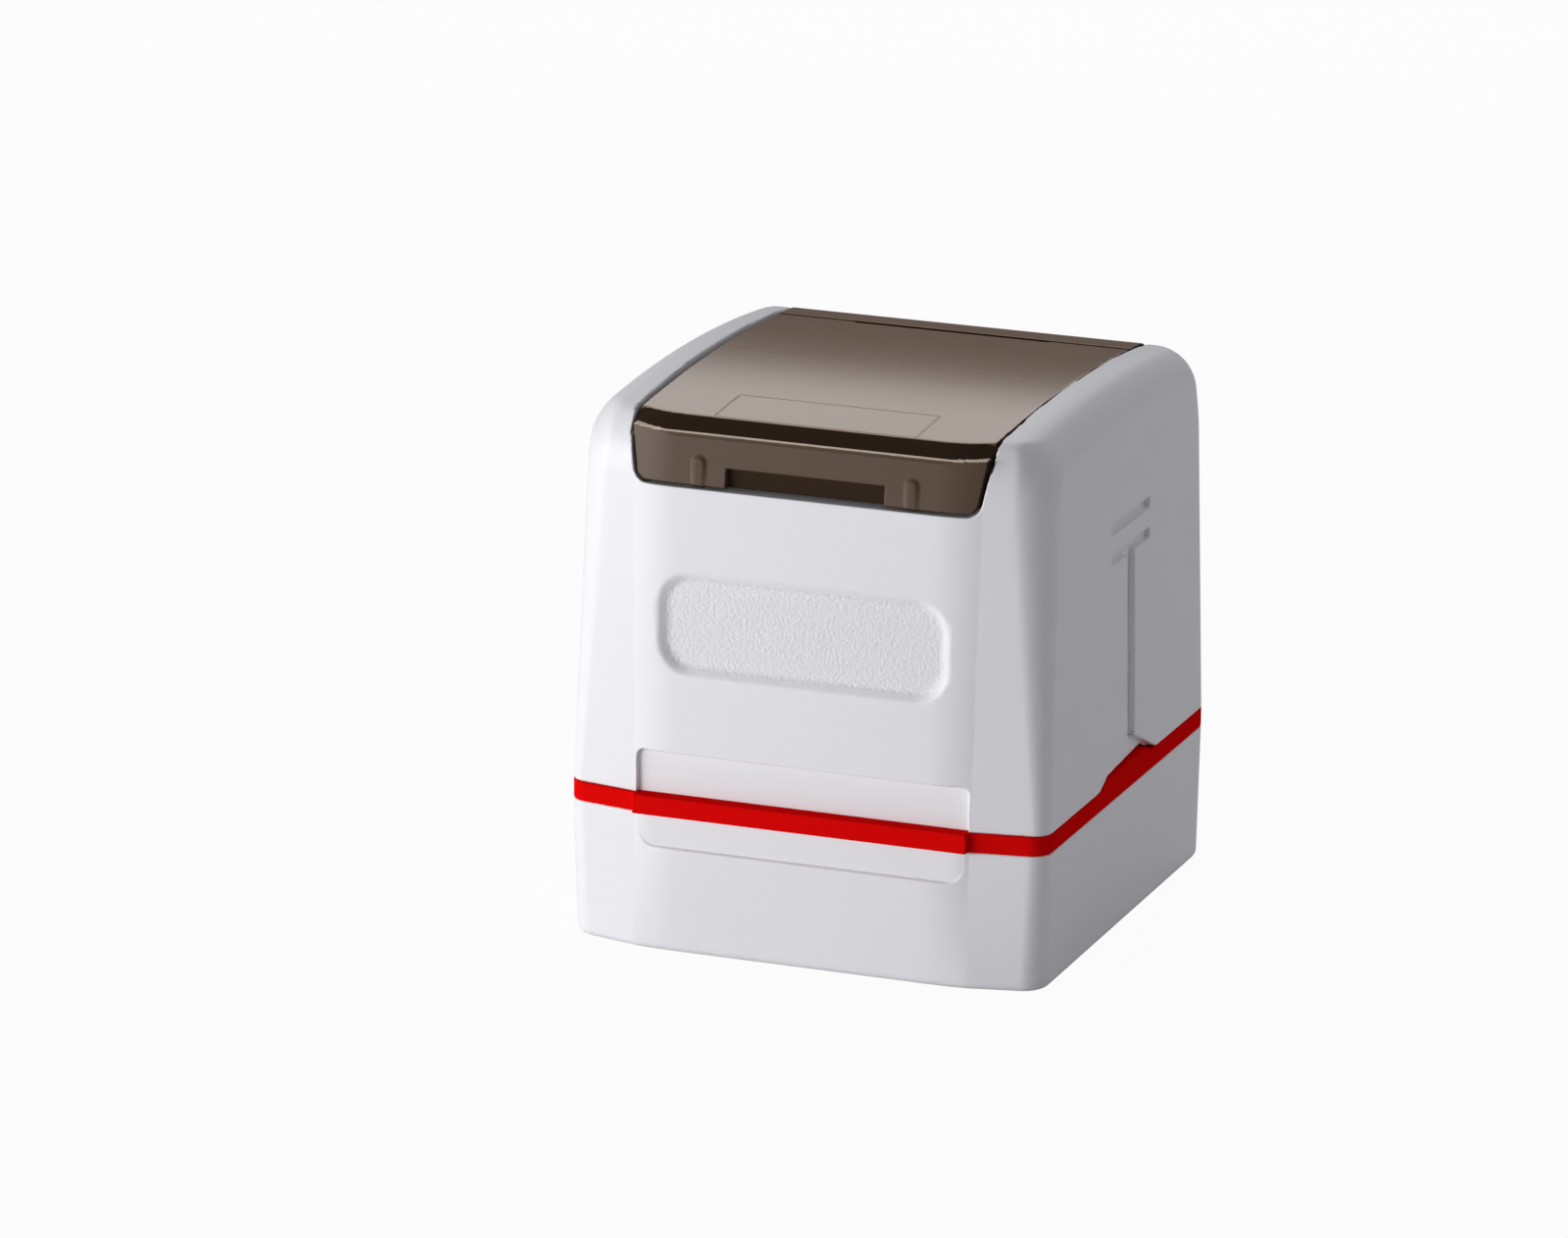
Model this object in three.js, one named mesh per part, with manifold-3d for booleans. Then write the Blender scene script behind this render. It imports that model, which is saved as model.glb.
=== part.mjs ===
// Pre-inked stamp with a smoked window lid, a red retaining ring and a dust cap.
// Millimetres. X to the right, Y to the rear, Z up, origin on the table under the body's middle.

import * as THREE from 'three';
import { mergeVertices } from 'three/addons/utils/BufferGeometryUtils.js';
import Module from 'manifold-3d';

const wasm = await Module();
wasm.setup();

// Whole body
const bodyWidth = 50;
const bodyDepth = 52;
const topHeight = 55.4;
const cornerSetback = 2;
const sideX = bodyWidth / 2;
const frontY = -bodyDepth / 2;
const rearY = bodyDepth / 2;
const sideMiddleY = (frontY + cornerSetback + rearY) / 2;
const sideHalfDepth = rearY - sideMiddleY;
const tabMiddleY = (frontY + rearY) / 2;

// Fits
const fitGap = 0.3;
const slideGap = 0.4;
const closeGap = 0.2;
const cutOverrun = 3;
const leastRadius = 0.4;

// Curve steps
const cornerSteps = 5;
const marginSteps = 3;
const bendSteps = 6;
const archSteps = 14;
const rollSteps = 5;
const scoopSteps = 10;
const roundSteps = 24;
const smallRoundSteps = 12;

// Plan outline that the cap, the ring and the shell share
const columnWidth = 7.55;
const panelHalf = sideX - columnWidth;
const marginWidth = 4.6;
const columnStepBottom = 0.25;
const columnStepTop = 0.76;
const frontRadiusBottom = 2.3;
const frontRadiusTop = 1.8;
const rearRadius = 3.8;

// Dust cap
const capHeight = 14;
const capWall = 1.9;
const capFloor = 1.6;
const capDraft = 0.2;
const capBottomRound = 0.9;
const capRibHeight = 0.8;
const capRibWidth = 1.4;
const capRibLength = 26;
const capRecessInset = 0.45;
const capRecessDrop = 3.2;
const capRecessDepth = 0.5;
const capRecessRadius = 1.8;

// Retaining ring
const bandHeight = 1.95;
const bandTop = capHeight + bandHeight;
const ringLipHeight = 2.4;
const ringLipThick = 0.9;
const ringLipRadius = 2.5;
const tabHeight = 0.85;
const tabTopHalf = 5.8;
const tabBottomHalf = 7.5;
const tabThick = 1.2;

// Handle shell
const shellFaceInset = 0.35;
const shellFrontDraft = 0.8;
const shellSideDraft = 0.72;
const shellRearDraft = 1.35;
const shellCornerSetback = 2.25;
const shellBottomRadius = 1.9;
const shellTopRadius = 2.7;
const creaseStepBottom = 0.1;
const creaseStepTop = 0.7;
const marginAngle = THREE.MathUtils.degToRad(15.5);
const bendHeight = 7.6;
const bendDepth = 5;
const archRadius = 185;
const archMiddleY = -1.5;
const shoulderRadius = 4.1;
const rearTopRadius = 5;
const shellWall = 2.1;
const shellFrontWall = 2.7;
const cavityRadius = 3;
const frontRecessInset = 0.15;
const frontRecessHeight = 4.5;
const frontRecessDepth = 1.48;
const frontRecessRadius = 1.4;
const plateInset = 2.65;
const plateHeight = 9.7;
const plateBelowMiddle = 0.37;
const plateDepth = 0.6;
const plateRadius = 3.2;
const slotHalf = 5.5;
const slotHeight = 1.1;
const slotDepth = 0.35;
const upperSlotDrop = 13.6;
const lowerSlotDrop = 16.7;
const grooveWidth = 1.6;
const scoopHeight = 2.75;
const scoopTip = 1.5;
const scoopSideShare = 0.47;
const scoopEdgeDepth = 0.12;
const scoopDepthShare = 0.33;

// Window lid
const cheekWidth = 6.15;
const lidLipTaper = 0.95;
const lidLipDrop = 7.7;
const lidLipTopDrop = 2.9;
const lidLipRadius = 1;
const lidLipSlant = 0.6;
const lidBevelRise = 1.4;
const lidBevelRun = 0.9;
const lidThick = 1.6;
const lidLipThick = 1.4;
const lipNotchHalf = 8.2;
const lipNotchHeight = 2;
const lipNotchDepth = 0.7;
const lipRibX = 11;
const lipRibWidth = 1.5;
const lipRibHeight = 2.8;
const lipRibProud = 0.25;
const hingeSetback = 6.1;
const barrelRadius = 2.2;
const trunnionRadius = 1.2;
const trunnionLength = 1.5;
const lidGrooveSetback = 1.3;
const lidGrooveWidth = 0.6;
const lidGrooveDepth = 0.4;
const hingeShelf = 2;
const swingRun = 0.9;
const swingRise = 2.2;

// Shell parts behind the lid's lip
const upstandGap = 0.7;
const upstandThick = 1.5;
const upstandHeight = 4.4;
const lipShelf = 1.8;

// Core, index label and core screws
const coreFlangeDrop = 10;
const coreFlangeThick = 1.6;
const deckSideGap = 1.85;
const deckWall = 1.6;
const deckDrop = 4;
const labelInset = 1.6;
const labelThick = 0.3;
const labelRecess = 0.2;
const columnHalf = 9;
const columnWall = 1.5;
const inkTubeX = 4.6;
const inkTubeRadius = 2.4;
const inkBoreRadius = 1.3;
const pegLength = 5.5;
const pegRadius = 1.5;
const coreScrewInset = 2.8;
const coreScrewSpread = 8.5;
const screwHeadRadius = 2;
const screwHeadHeight = 1.3;
const screwShankRadius = 1.1;
const screwLength = 7;
const screwSlotWidth = 0.5;
const screwSlotDepth = 0.5;
const shellBossRadius = 2.3;

// Die, pad, holder and clamp
const dieFaceZ = 6.5;
const dieStep = 0.7;
const dieFaceHeight = 1.8;
const dieFlangeHeight = 2.2;
const padHeight = 3.2;
const holderRim = 1;
const holderPlate = 2;
const clampWall = 0.8;
const clampLip = 0.8;
const clampWallHeight = 6.4;
const clampRadius = 1.2;
const holderScrewY = 6.3;
const holderScrewLength = 6;
const holderBossRadius = 2;
const holderBossHeight = 8;

// Skirt, its guide posts and its springs
const pressTravel = 3.5;
const skirtInset = 2.8;
const skirtWall = 1;
const skirtRadius = 2;
const skirtFlangeThick = 1.8;
const postHeight = 6.5;
const springInset = 5.9;
const springRadius = 2.3;
const springWire = 0.7;
const springTurns = 9;
const springStepsPerTurn = 8;
const springSides = 5;

// Heights and places that follow from the sizes above
const lidLipBottomZ = topHeight - lidLipDrop;
const upperSlotZ = topHeight - upperSlotDrop;
const lowerSlotZ = topHeight - lowerSlotDrop;
const coreFlangeTopZ = topHeight - coreFlangeDrop;
const deckTopZ = topHeight - deckDrop;
const skirtBottomZ = dieFaceZ - pressTravel;
const dieStepZ = dieFaceZ + dieFaceHeight;
const dieTopZ = dieStepZ + dieFlangeHeight;
const padTopZ = dieTopZ + padHeight;
const holderTopZ = padTopZ + holderPlate;
const clampBottomZ = dieStepZ - clampLip;
const skirtFlangeZ = holderTopZ + fitGap;
const skirtTopZ = skirtFlangeZ + skirtFlangeThick;
const coreFlangeZ = coreFlangeTopZ - coreFlangeThick;
const coreFlangeRadius = cavityRadius - closeGap;
const cavityHalf = sideX - shellWall;
const cavityFrontY = frontY + shellFaceInset + shellFrontWall;
const cavityRearY = rearY - shellWall;
const plateMiddleZ = (bandTop + frontRecessHeight + lidLipBottomZ) / 2 - plateBelowMiddle;
const lidHalf = sideX - cheekWidth;
const lidLipHalf = lidHalf - lidLipTaper;
const deckHalf = lidHalf - deckSideGap;
const labelHalf = deckHalf - labelInset;

// How far the pieces that lie round each other keep in from the body's sides
const ringHoleInset = skirtInset - fitGap;
const ringLipInset = ringHoleInset - ringLipThick;
const clampInset = skirtInset + skirtWall + fitGap;
const dieFlangeInset = clampInset + clampWall + fitGap;
const dieFaceInset = dieFlangeInset + dieStep;
const padInset = dieFlangeInset + holderRim + fitGap;

// Places of the lid's hinge and of what lies round the lid
const hingeY = rearY - hingeSetback;
const hingeZ = archTop(hingeY) - barrelRadius;
const cradleRadius = barrelRadius + slideGap;
const lidOpeningHalf = lidHalf + fitGap;
const lidLipTopZ = topHeight - lidLipTopDrop;
const lidBevelTopZ = lidLipTopZ + lidBevelRise;
const lidFrontY = frontY + shellFaceInset + shellFrontDraft;
const lipInnerY = shellPlan(lidLipTopZ, lidLipSlant).columnY + lidLipThick;
const upstandY = lipInnerY + upstandGap;
const upstandBackY = upstandY + upstandThick;
const lipShelfTopZ = lidLipBottomZ - fitGap;
const lipShelfZ = lipShelfTopZ - lipShelf;
const deckFrontY = upstandBackY + slideGap;
const cradleFrontY = hingeY - cradleRadius;
const deckBackY = cradleFrontY - slideGap;
const hingeShelfZ = hingeZ - cradleRadius - hingeShelf;

// Height of the arched top over a place along the body
function archTop(y) {
  const off = y - archMiddleY;
  return topHeight - archRadius + Math.sqrt(archRadius * archRadius - off * off);
}

// Closed solids from three.js geometry

function toSolid(geometry) {
  const bare = new THREE.BufferGeometry();
  bare.setAttribute('position', geometry.getAttribute('position').clone());
  if (geometry.index) bare.setIndex(geometry.index.clone());
  const merged = mergeVertices(bare);
  return new wasm.Manifold(new wasm.Mesh({
    numProp: 3,
    vertProperties: new Float32Array(merged.getAttribute('position').array),
    triVerts: new Uint32Array(merged.index.array),
  }));
}

function toGeometry(solid) {
  const mesh = solid.getMesh();
  const geometry = new THREE.BufferGeometry();
  geometry.setAttribute('position', new THREE.BufferAttribute(new Float32Array(mesh.vertProperties), 3));
  geometry.setIndex(new THREE.BufferAttribute(new Uint32Array(mesh.triVerts), 1));
  geometry.computeVertexNormals();
  return geometry;
}

function box(x0, x1, y0, y1, z0, z1) {
  const geometry = new THREE.BoxGeometry(x1 - x0, y1 - y0, z1 - z0);
  geometry.translate((x0 + x1) / 2, (y0 + y1) / 2, (z0 + z1) / 2);
  return toSolid(geometry);
}

function shapeOf(points) {
  return new THREE.Shape(points.map(([a, b]) => new THREE.Vector2(a, b)));
}

function extruded(shape, length, curveSegments) {
  return new THREE.ExtrudeGeometry(shape, { depth: length, bevelEnabled: false, curveSegments });
}

// A side outline, as points of Y and Z, drawn out along X
function alongX(points, x0, x1) {
  const geometry = extruded(shapeOf(points), x1 - x0, 1);
  const turn = new THREE.Matrix4().makeBasis(
    new THREE.Vector3(0, 1, 0), new THREE.Vector3(0, 0, 1), new THREE.Vector3(1, 0, 0));
  geometry.applyMatrix4(turn);
  geometry.translate(x0, 0, 0);
  return toSolid(geometry);
}

// A front outline, a shape in X and Z, drawn out along Y
function alongY(shape, y0, y1) {
  const geometry = extruded(shape, y1 - y0, cornerSteps);
  const turn = new THREE.Matrix4().makeBasis(
    new THREE.Vector3(1, 0, 0), new THREE.Vector3(0, 0, 1), new THREE.Vector3(0, -1, 0));
  geometry.applyMatrix4(turn);
  geometry.translate(0, y1, 0);
  return toSolid(geometry);
}

// A plan outline drawn up along Z
function alongZ(shape, z0, z1) {
  const geometry = extruded(shape, z1 - z0, cornerSteps);
  geometry.translate(0, 0, z0);
  return toSolid(geometry);
}

function roundedRectangle(x0, x1, y0, y1, radius) {
  const shape = new THREE.Shape();
  shape.moveTo(x0 + radius, y0);
  shape.lineTo(x1 - radius, y0);
  shape.absarc(x1 - radius, y0 + radius, radius, -Math.PI / 2, 0);
  shape.lineTo(x1, y1 - radius);
  shape.absarc(x1 - radius, y1 - radius, radius, 0, Math.PI / 2);
  shape.lineTo(x0 + radius, y1);
  shape.absarc(x0 + radius, y1 - radius, radius, Math.PI / 2, Math.PI);
  shape.lineTo(x0, y0 + radius);
  shape.absarc(x0 + radius, y0 + radius, radius, Math.PI, Math.PI * 1.5);
  return shape;
}

// A rounded block that keeps one distance in from the body's sides, its columns and its rear
function worksBlock(inset, radius, z0, z1) {
  const halfX = sideX - inset;
  const halfY = sideHalfDepth - inset;
  return alongZ(roundedRectangle(-halfX, halfX, sideMiddleY - halfY, sideMiddleY + halfY, radius), z0, z1);
}

function post(x, y, radius, z0, z1, steps = smallRoundSteps) {
  const geometry = new THREE.CylinderGeometry(radius, radius, z1 - z0, steps);
  geometry.rotateX(Math.PI / 2);
  geometry.translate(x, y, (z0 + z1) / 2);
  return toSolid(geometry);
}

function rod(y, z, radius, x0, x1, steps = smallRoundSteps) {
  const geometry = new THREE.CylinderGeometry(radius, radius, x1 - x0, steps);
  geometry.rotateZ(Math.PI / 2);
  geometry.translate((x0 + x1) / 2, y, z);
  return toSolid(geometry);
}

// A skin through rings that all hold as many points, closed by a fan at each end
function loft(rings) {
  const count = rings[0].length;
  const positions = rings.flat(2);
  const triangles = [];
  const middleOf = (ring) => [0, 1, 2].map(
    (axis) => ring.reduce((sum, point) => sum + point[axis], 0) / count);
  const firstMiddle = rings.length * count;
  positions.push(...middleOf(rings[0]), ...middleOf(rings[rings.length - 1]));
  for (let i = 0; i < count; i += 1) {
    const next = (i + 1) % count;
    for (let level = 0; level + 1 < rings.length; level += 1) {
      const low = level * count;
      const high = low + count;
      triangles.push(low + i, low + next, high + next, low + i, high + next, high + i);
    }
    const last = firstMiddle - count;
    triangles.push(firstMiddle, next, i, firstMiddle + 1, last + i, last + next);
  }
  const geometry = new THREE.BufferGeometry();
  geometry.setAttribute('position', new THREE.BufferAttribute(new Float32Array(positions), 3));
  geometry.setIndex(triangles);
  return toSolid(geometry);
}

function joined(solids) {
  return solids.reduce((whole, solid) => whole.add(solid));
}

function without(solid, cuts) {
  return cuts.reduce((rest, cut) => rest.subtract(cut), solid);
}

// Plan outlines

function arcPoints(x, y, radius, from, to, steps) {
  const points = [];
  for (let i = 0; i <= steps; i += 1) {
    const angle = from + (to - from) * i / steps;
    points.push([x + radius * Math.cos(angle), y + radius * Math.sin(angle)]);
  }
  return points;
}

// The middle panel, an angled column, two rounded corners and the rear, on both sides
function planOutline(plan, inset = 0) {
  const slope = Math.atan2(plan.cornerY - plan.columnY, plan.sideX - plan.columnX);
  const columnShift = inset / Math.cos(slope);
  const front = Math.max(plan.frontRadius - inset, leastRadius);
  const rear = Math.max(plan.rearRadius - inset, leastRadius);
  const side = plan.sideX - inset;
  const cornerY = plan.cornerY + columnShift - inset * Math.tan(slope);
  const arcY = cornerY + (front - front * Math.sin(slope)) / Math.cos(slope);
  const right = [
    ...plan.panel.map(([x, y]) => [x, y + inset]),
    [plan.columnX, plan.columnY + columnShift],
    ...arcPoints(side - front, arcY, front, slope - Math.PI / 2, 0, cornerSteps),
    ...arcPoints(side - rear, plan.rearY - inset - rear, rear, 0, Math.PI / 2, cornerSteps),
  ];
  const left = right.map(([x, y]) => [-x, y]).reverse();
  return [...right, ...left];
}

function atHeight(points, z) {
  return points.map(([x, y]) => [x, y, z]);
}

// The edge of a pillowed panel, which curves back by an angle until it meets the column
function panelMargin(creaseX, faceY, angle) {
  const radius = marginWidth / Math.sin(angle);
  return arcPoints(
    creaseX - marginWidth, faceY + radius, radius, -Math.PI / 2, angle - Math.PI / 2, marginSteps);
}

// The cap's plan, drafted towards its floor, where the columns run out into the panel
function capPlan(z) {
  const share = z / capHeight;
  const draft = capDraft * (1 - share);
  const step = columnStepBottom + (columnStepTop - columnStepBottom) * share;
  const panel = panelMargin(panelHalf, frontY + draft, 2 * Math.atan(step / marginWidth));
  const crease = panel.pop();
  return {
    panel,
    columnX: crease[0],
    columnY: crease[1],
    sideX: sideX - draft,
    cornerY: frontY + cornerSetback + draft,
    rearY: rearY - draft,
    frontRadius: frontRadiusBottom + (frontRadiusTop - frontRadiusBottom) * share,
    rearRadius,
  };
}

// The ring's plan: the cap's top outline with a flat panel that stands proud of the columns
function ringPlan() {
  return { ...capPlan(capHeight), panel: [[panelHalf, frontY]] };
}

// How far the front bends back under the arched top
function frontBend(z) {
  const share = Math.max(0, (z - (topHeight - bendHeight)) / bendHeight);
  return bendDepth * (1 - Math.sqrt(Math.max(0, 1 - share * share)));
}

// The shell's plan, with a pillowed middle panel that meets the columns in a crease
function shellPlan(z, bend = frontBend(z)) {
  const share = (z - bandTop) / (topHeight - bandTop);
  const back = shellFrontDraft * share + bend;
  const faceY = frontY + shellFaceInset + back;
  const creaseX = panelHalf + creaseStepBottom + (creaseStepTop - creaseStepBottom) * share;
  const panel = panelMargin(creaseX, faceY, marginAngle);
  const crease = panel.pop();
  return {
    panel,
    columnX: crease[0],
    columnY: crease[1],
    sideX: sideX - shellSideDraft * share,
    cornerY: frontY + shellCornerSetback + back,
    rearY: rearY - shellRearDraft * share,
    frontRadius: shellBottomRadius + (shellTopRadius - shellBottomRadius) * share,
    rearRadius,
  };
}

// Front outline of the lid: straight sides, narrower down the lip, rounded at its corners
function lidOutline(gap) {
  const low = lidLipBottomZ - gap;
  const radius = lidLipRadius + gap;
  const half = lidHalf + gap;
  const lipHalf = lidLipHalf + gap;
  const shape = new THREE.Shape();
  shape.moveTo(radius - lipHalf, low);
  shape.lineTo(lipHalf - radius, low);
  shape.absarc(lipHalf - radius, low + radius, radius, -Math.PI / 2, 0);
  shape.lineTo(half, lidLipTopZ);
  shape.lineTo(half, topHeight + cutOverrun);
  shape.lineTo(-half, topHeight + cutOverrun);
  shape.lineTo(-half, lidLipTopZ);
  shape.lineTo(-lipHalf, low + radius);
  shape.absarc(radius - lipHalf, low + radius, radius, Math.PI, Math.PI * 1.5);
  return shape;
}

// Dust cap

function makeDustCap() {
  const bottomRings = [];
  for (let i = 0; i <= rollSteps; i += 1) {
    const angle = Math.PI / 2 * i / rollSteps;
    const z = capBottomRound * (1 - Math.cos(angle));
    bottomRings.push(atHeight(planOutline(capPlan(z), capBottomRound * (1 - Math.sin(angle))), z));
  }
  const outer = loft([...bottomRings, atHeight(planOutline(capPlan(capHeight)), capHeight)]);
  const inner = loft([
    atHeight(planOutline(capPlan(capFloor), capWall), capFloor),
    atHeight(planOutline(capPlan(capHeight), capWall), capHeight + cutOverrun),
  ]);
  const recessHalf = panelHalf - capRecessInset;
  const recess = alongY(
    roundedRectangle(
      -recessHalf, recessHalf, capHeight - capRecessDrop, capHeight + cutOverrun, capRecessRadius),
    frontY - cutOverrun, frontY + capRecessDepth);
  const ribInset = skirtInset + skirtWall / 2;
  const ribX = sideX - ribInset;
  const ribReach = sideHalfDepth - ribInset;
  const ribEnd = capRibLength / 2;
  const ribHalf = capRibWidth / 2;
  const ribTop = capFloor + capRibHeight;
  const ribBase = capFloor / 2;
  const ribs = [-1, 1].flatMap((side) => [
    box(side * ribX - ribHalf, side * ribX + ribHalf,
      sideMiddleY - ribEnd, sideMiddleY + ribEnd, ribBase, ribTop),
    box(-ribEnd, ribEnd,
      sideMiddleY + side * ribReach - ribHalf, sideMiddleY + side * ribReach + ribHalf, ribBase, ribTop),
  ]);
  return joined([without(outer, [inner, recess]), ...ribs]);
}

// Retaining ring

function tabShape(gap) {
  const top = bandTop + tabHeight + gap;
  return [
    [tabMiddleY - tabBottomHalf - gap, bandTop],
    [tabMiddleY - tabTopHalf - gap, top],
    [tabMiddleY + tabTopHalf + gap, top],
    [tabMiddleY + tabBottomHalf + gap, bandTop],
  ];
}

function makeRetainingRing() {
  const band = loft([
    atHeight(planOutline(ringPlan()), capHeight),
    atHeight(planOutline(ringPlan()), bandTop),
  ]);
  const lipTop = bandTop + ringLipHeight;
  const lip = worksBlock(ringLipInset, ringLipRadius, bandTop - bandHeight / 2, lipTop);
  const lipBreak = box(
    -sideX, sideX, tabMiddleY - tabBottomHalf - slideGap, tabMiddleY + tabBottomHalf + slideGap,
    bandTop, lipTop + cutOverrun);
  const tabRoot = bandTop - bandHeight / 2;
  const tab = [
    [tabMiddleY - tabBottomHalf, tabRoot],
    ...tabShape(0),
    [tabMiddleY + tabBottomHalf, tabRoot],
  ];
  const tabFace = shellPlan(bandTop + tabHeight).sideX;
  const tabs = [
    alongX(tab, tabFace - tabThick, tabFace),
    alongX(tab, -tabFace, tabThick - tabFace),
  ];
  const hole = worksBlock(ringHoleInset, skirtRadius + fitGap, capHeight - cutOverrun, lipTop + cutOverrun);
  return without(joined([band, without(lip, [lipBreak]), ...tabs]), [hole]);
}

// Handle shell

// The arched top with rolled shoulders, running down over the rear edge
function archedBlock() {
  const rollY = rearY - shellRearDraft - rearTopRadius;
  const rollZ = archTop(rollY) - rearTopRadius;
  const stations = [];
  for (let i = 0; i <= archSteps; i += 1) {
    const y = frontY + (rollY - frontY) * i / archSteps;
    stations.push([y, archTop(y)]);
  }
  for (let i = 1; i <= rollSteps; i += 1) {
    const angle = Math.PI / 2 * i / rollSteps;
    stations.push([rollY + rearTopRadius * Math.sin(angle), rollZ + rearTopRadius * Math.cos(angle)]);
  }
  stations.push([rearY + cutOverrun, rollZ]);
  const shoulderX = shellPlan(topHeight - shoulderRadius).sideX;
  return loft(stations.map(([y, top]) => {
    const right = [
      [sideX + cutOverrun, capHeight],
      ...arcPoints(
        shoulderX - shoulderRadius, top - shoulderRadius, shoulderRadius, 0, Math.PI / 2, rollSteps),
    ];
    const left = right.map(([x, z]) => [-x, z]);
    return [...left, ...right.reverse()].map(([x, z]) => [x, y, z]);
  }));
}

// The shell's plan drawn up through its height, with the front bending back at the top
function uprightBlock() {
  const levels = [bandTop];
  for (let i = 0; i <= bendSteps; i += 1) {
    levels.push(topHeight - bendHeight * Math.cos(Math.PI / 2 * i / bendSteps));
  }
  return loft(levels.map((z) => atHeight(planOutline(shellPlan(z)), z)));
}

// The hollow under the ledges, with a wider step for the ring's lip
function shellHollow() {
  const lowTop = Math.min(lipShelfZ, hingeShelfZ);
  const low = alongZ(
    roundedRectangle(-cavityHalf, cavityHalf, cavityFrontY, cavityRearY, cavityRadius),
    bandTop - cutOverrun, lowTop);
  const middle = box(
    -lidOpeningHalf, lidOpeningHalf, upstandBackY, cradleFrontY, lowTop - cutOverrun, topHeight + cutOverrun);
  const step = worksBlock(
    ringLipInset - fitGap, ringLipRadius + fitGap, bandTop - cutOverrun, bandTop + ringLipHeight + fitGap);
  const stepBreak = box(
    -sideX, sideX, tabMiddleY - tabBottomHalf, tabMiddleY + tabBottomHalf,
    bandTop - cutOverrun - cutOverrun, topHeight);
  return [low, middle, without(step, [stepBreak])];
}

// Room for the lid: its front outline, its hinge barrel and the swing of its rear end
function lidRoom() {
  const lipRoom = alongY(lidOutline(fitGap), frontY - cutOverrun, upstandY);
  const overUpstand = box(
    -lidOpeningHalf, lidOpeningHalf, frontY - cutOverrun, hingeY,
    lipShelfTopZ + upstandHeight, topHeight + cutOverrun);
  const cradle = rod(hingeY, hingeZ, cradleRadius, -lidOpeningHalf, lidOpeningHalf, roundSteps);
  const swing = alongX([
    [cradleFrontY - fitGap, hingeZ],
    [hingeY + cradleRadius, hingeZ],
    [hingeY + cradleRadius + swingRun, hingeZ + swingRise],
    [hingeY + cradleRadius + swingRun, topHeight + cutOverrun],
    [cradleFrontY - fitGap, topHeight + cutOverrun],
  ], -lidOpeningHalf, lidOpeningHalf);
  const bearingEnd = lidOpeningHalf + trunnionLength + fitGap;
  const bearings = rod(hingeY, hingeZ, trunnionRadius + closeGap, -bearingEnd, bearingEnd);
  return [lipRoom, overUpstand, cradle, swing, bearings];
}

// A wedge over the right-hand tab, deepest at its tip, whose floor slopes out to the tab's face
function scoopWedge() {
  const tabTop = bandTop + tabHeight;
  const tipZ = tabTop + scoopHeight;
  const lowZ = bandTop - cutOverrun;
  const slant = scoopTip + (scoopHeight + tabHeight) / scoopSideShare;
  const reach = Math.sqrt(slant * slant - scoopTip * scoopTip);
  const outline = [[tabMiddleY - reach, lowZ]];
  for (let i = 0; i <= scoopSteps; i += 1) {
    const off = reach * (2 * i / scoopSteps - 1);
    outline.push([tabMiddleY + off, tipZ - scoopSideShare * (Math.hypot(scoopTip, off) - scoopTip)]);
  }
  outline.push([tabMiddleY + reach, lowZ]);
  const edgeX = shellPlan(tabTop).sideX - scoopEdgeDepth;
  const outerX = sideX + cutOverrun;
  const overTipZ = tipZ + cutOverrun;
  const wedge = shapeOf([
    [edgeX, lowZ],
    [outerX, lowZ],
    [outerX, overTipZ],
    [edgeX - scoopDepthShare * (overTipZ - tabTop), overTipZ],
    [edgeX, tabTop],
  ]);
  return alongX(outline, 0, outerX).intersect(alongY(wedge, tabMiddleY - reach, tabMiddleY + reach));
}

// Slots, groove, notch and scoop of one side
function sideCuts(side) {
  const cuts = [];
  const face = (z) => shellPlan(z).sideX;
  const cutBox = (y0, y1, z0, z1, depth) => {
    const inner = face((z0 + z1) / 2) - depth;
    const outer = sideX + cutOverrun;
    return side > 0 ? box(inner, outer, y0, y1, z0, z1) : box(-outer, -inner, y0, y1, z0, z1);
  };
  for (const z of [upperSlotZ, lowerSlotZ]) {
    cuts.push(cutBox(
      sideMiddleY - slotHalf, sideMiddleY + slotHalf, z - slotHeight / 2, z + slotHeight / 2, slotDepth));
  }
  cuts.push(cutBox(
    sideMiddleY - grooveWidth / 2, sideMiddleY + grooveWidth / 2,
    bandTop + tabHeight, lowerSlotZ, slotDepth));
  const notchFace = face(bandTop + tabHeight) - tabThick - closeGap;
  const notch = tabShape(closeGap);
  notch.unshift([notch[0][0], bandTop - cutOverrun]);
  notch.push([notch[notch.length - 1][0], bandTop - cutOverrun]);
  cuts.push(side > 0
    ? alongX(notch, notchFace, sideX + cutOverrun)
    : alongX(notch, -sideX - cutOverrun, -notchFace));
  const scoop = scoopWedge();
  cuts.push(side > 0 ? scoop : scoop.mirror([1, 0, 0]));
  return cuts;
}

function frontCuts() {
  const recessHalf = panelHalf - frontRecessInset;
  const recessTop = bandTop + frontRecessHeight;
  const plateHalf = panelHalf - plateInset;
  const plateFace = shellPlan(plateMiddleZ).panel[0][1];
  return [
    alongY(
      roundedRectangle(-recessHalf, recessHalf, bandTop - cutOverrun, recessTop, frontRecessRadius),
      frontY - cutOverrun, frontY + frontRecessDepth),
    alongY(
      roundedRectangle(
        -plateHalf, plateHalf, plateMiddleZ - plateHeight / 2, plateMiddleZ + plateHeight / 2, plateRadius),
      frontY - cutOverrun, plateFace + plateDepth),
  ];
}

const coreScrewPlaces = [-1, 1].flatMap((side) => [-1, 1].map((end) => [
  side * (cavityHalf - coreScrewInset), sideMiddleY + end * coreScrewSpread]));

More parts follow.
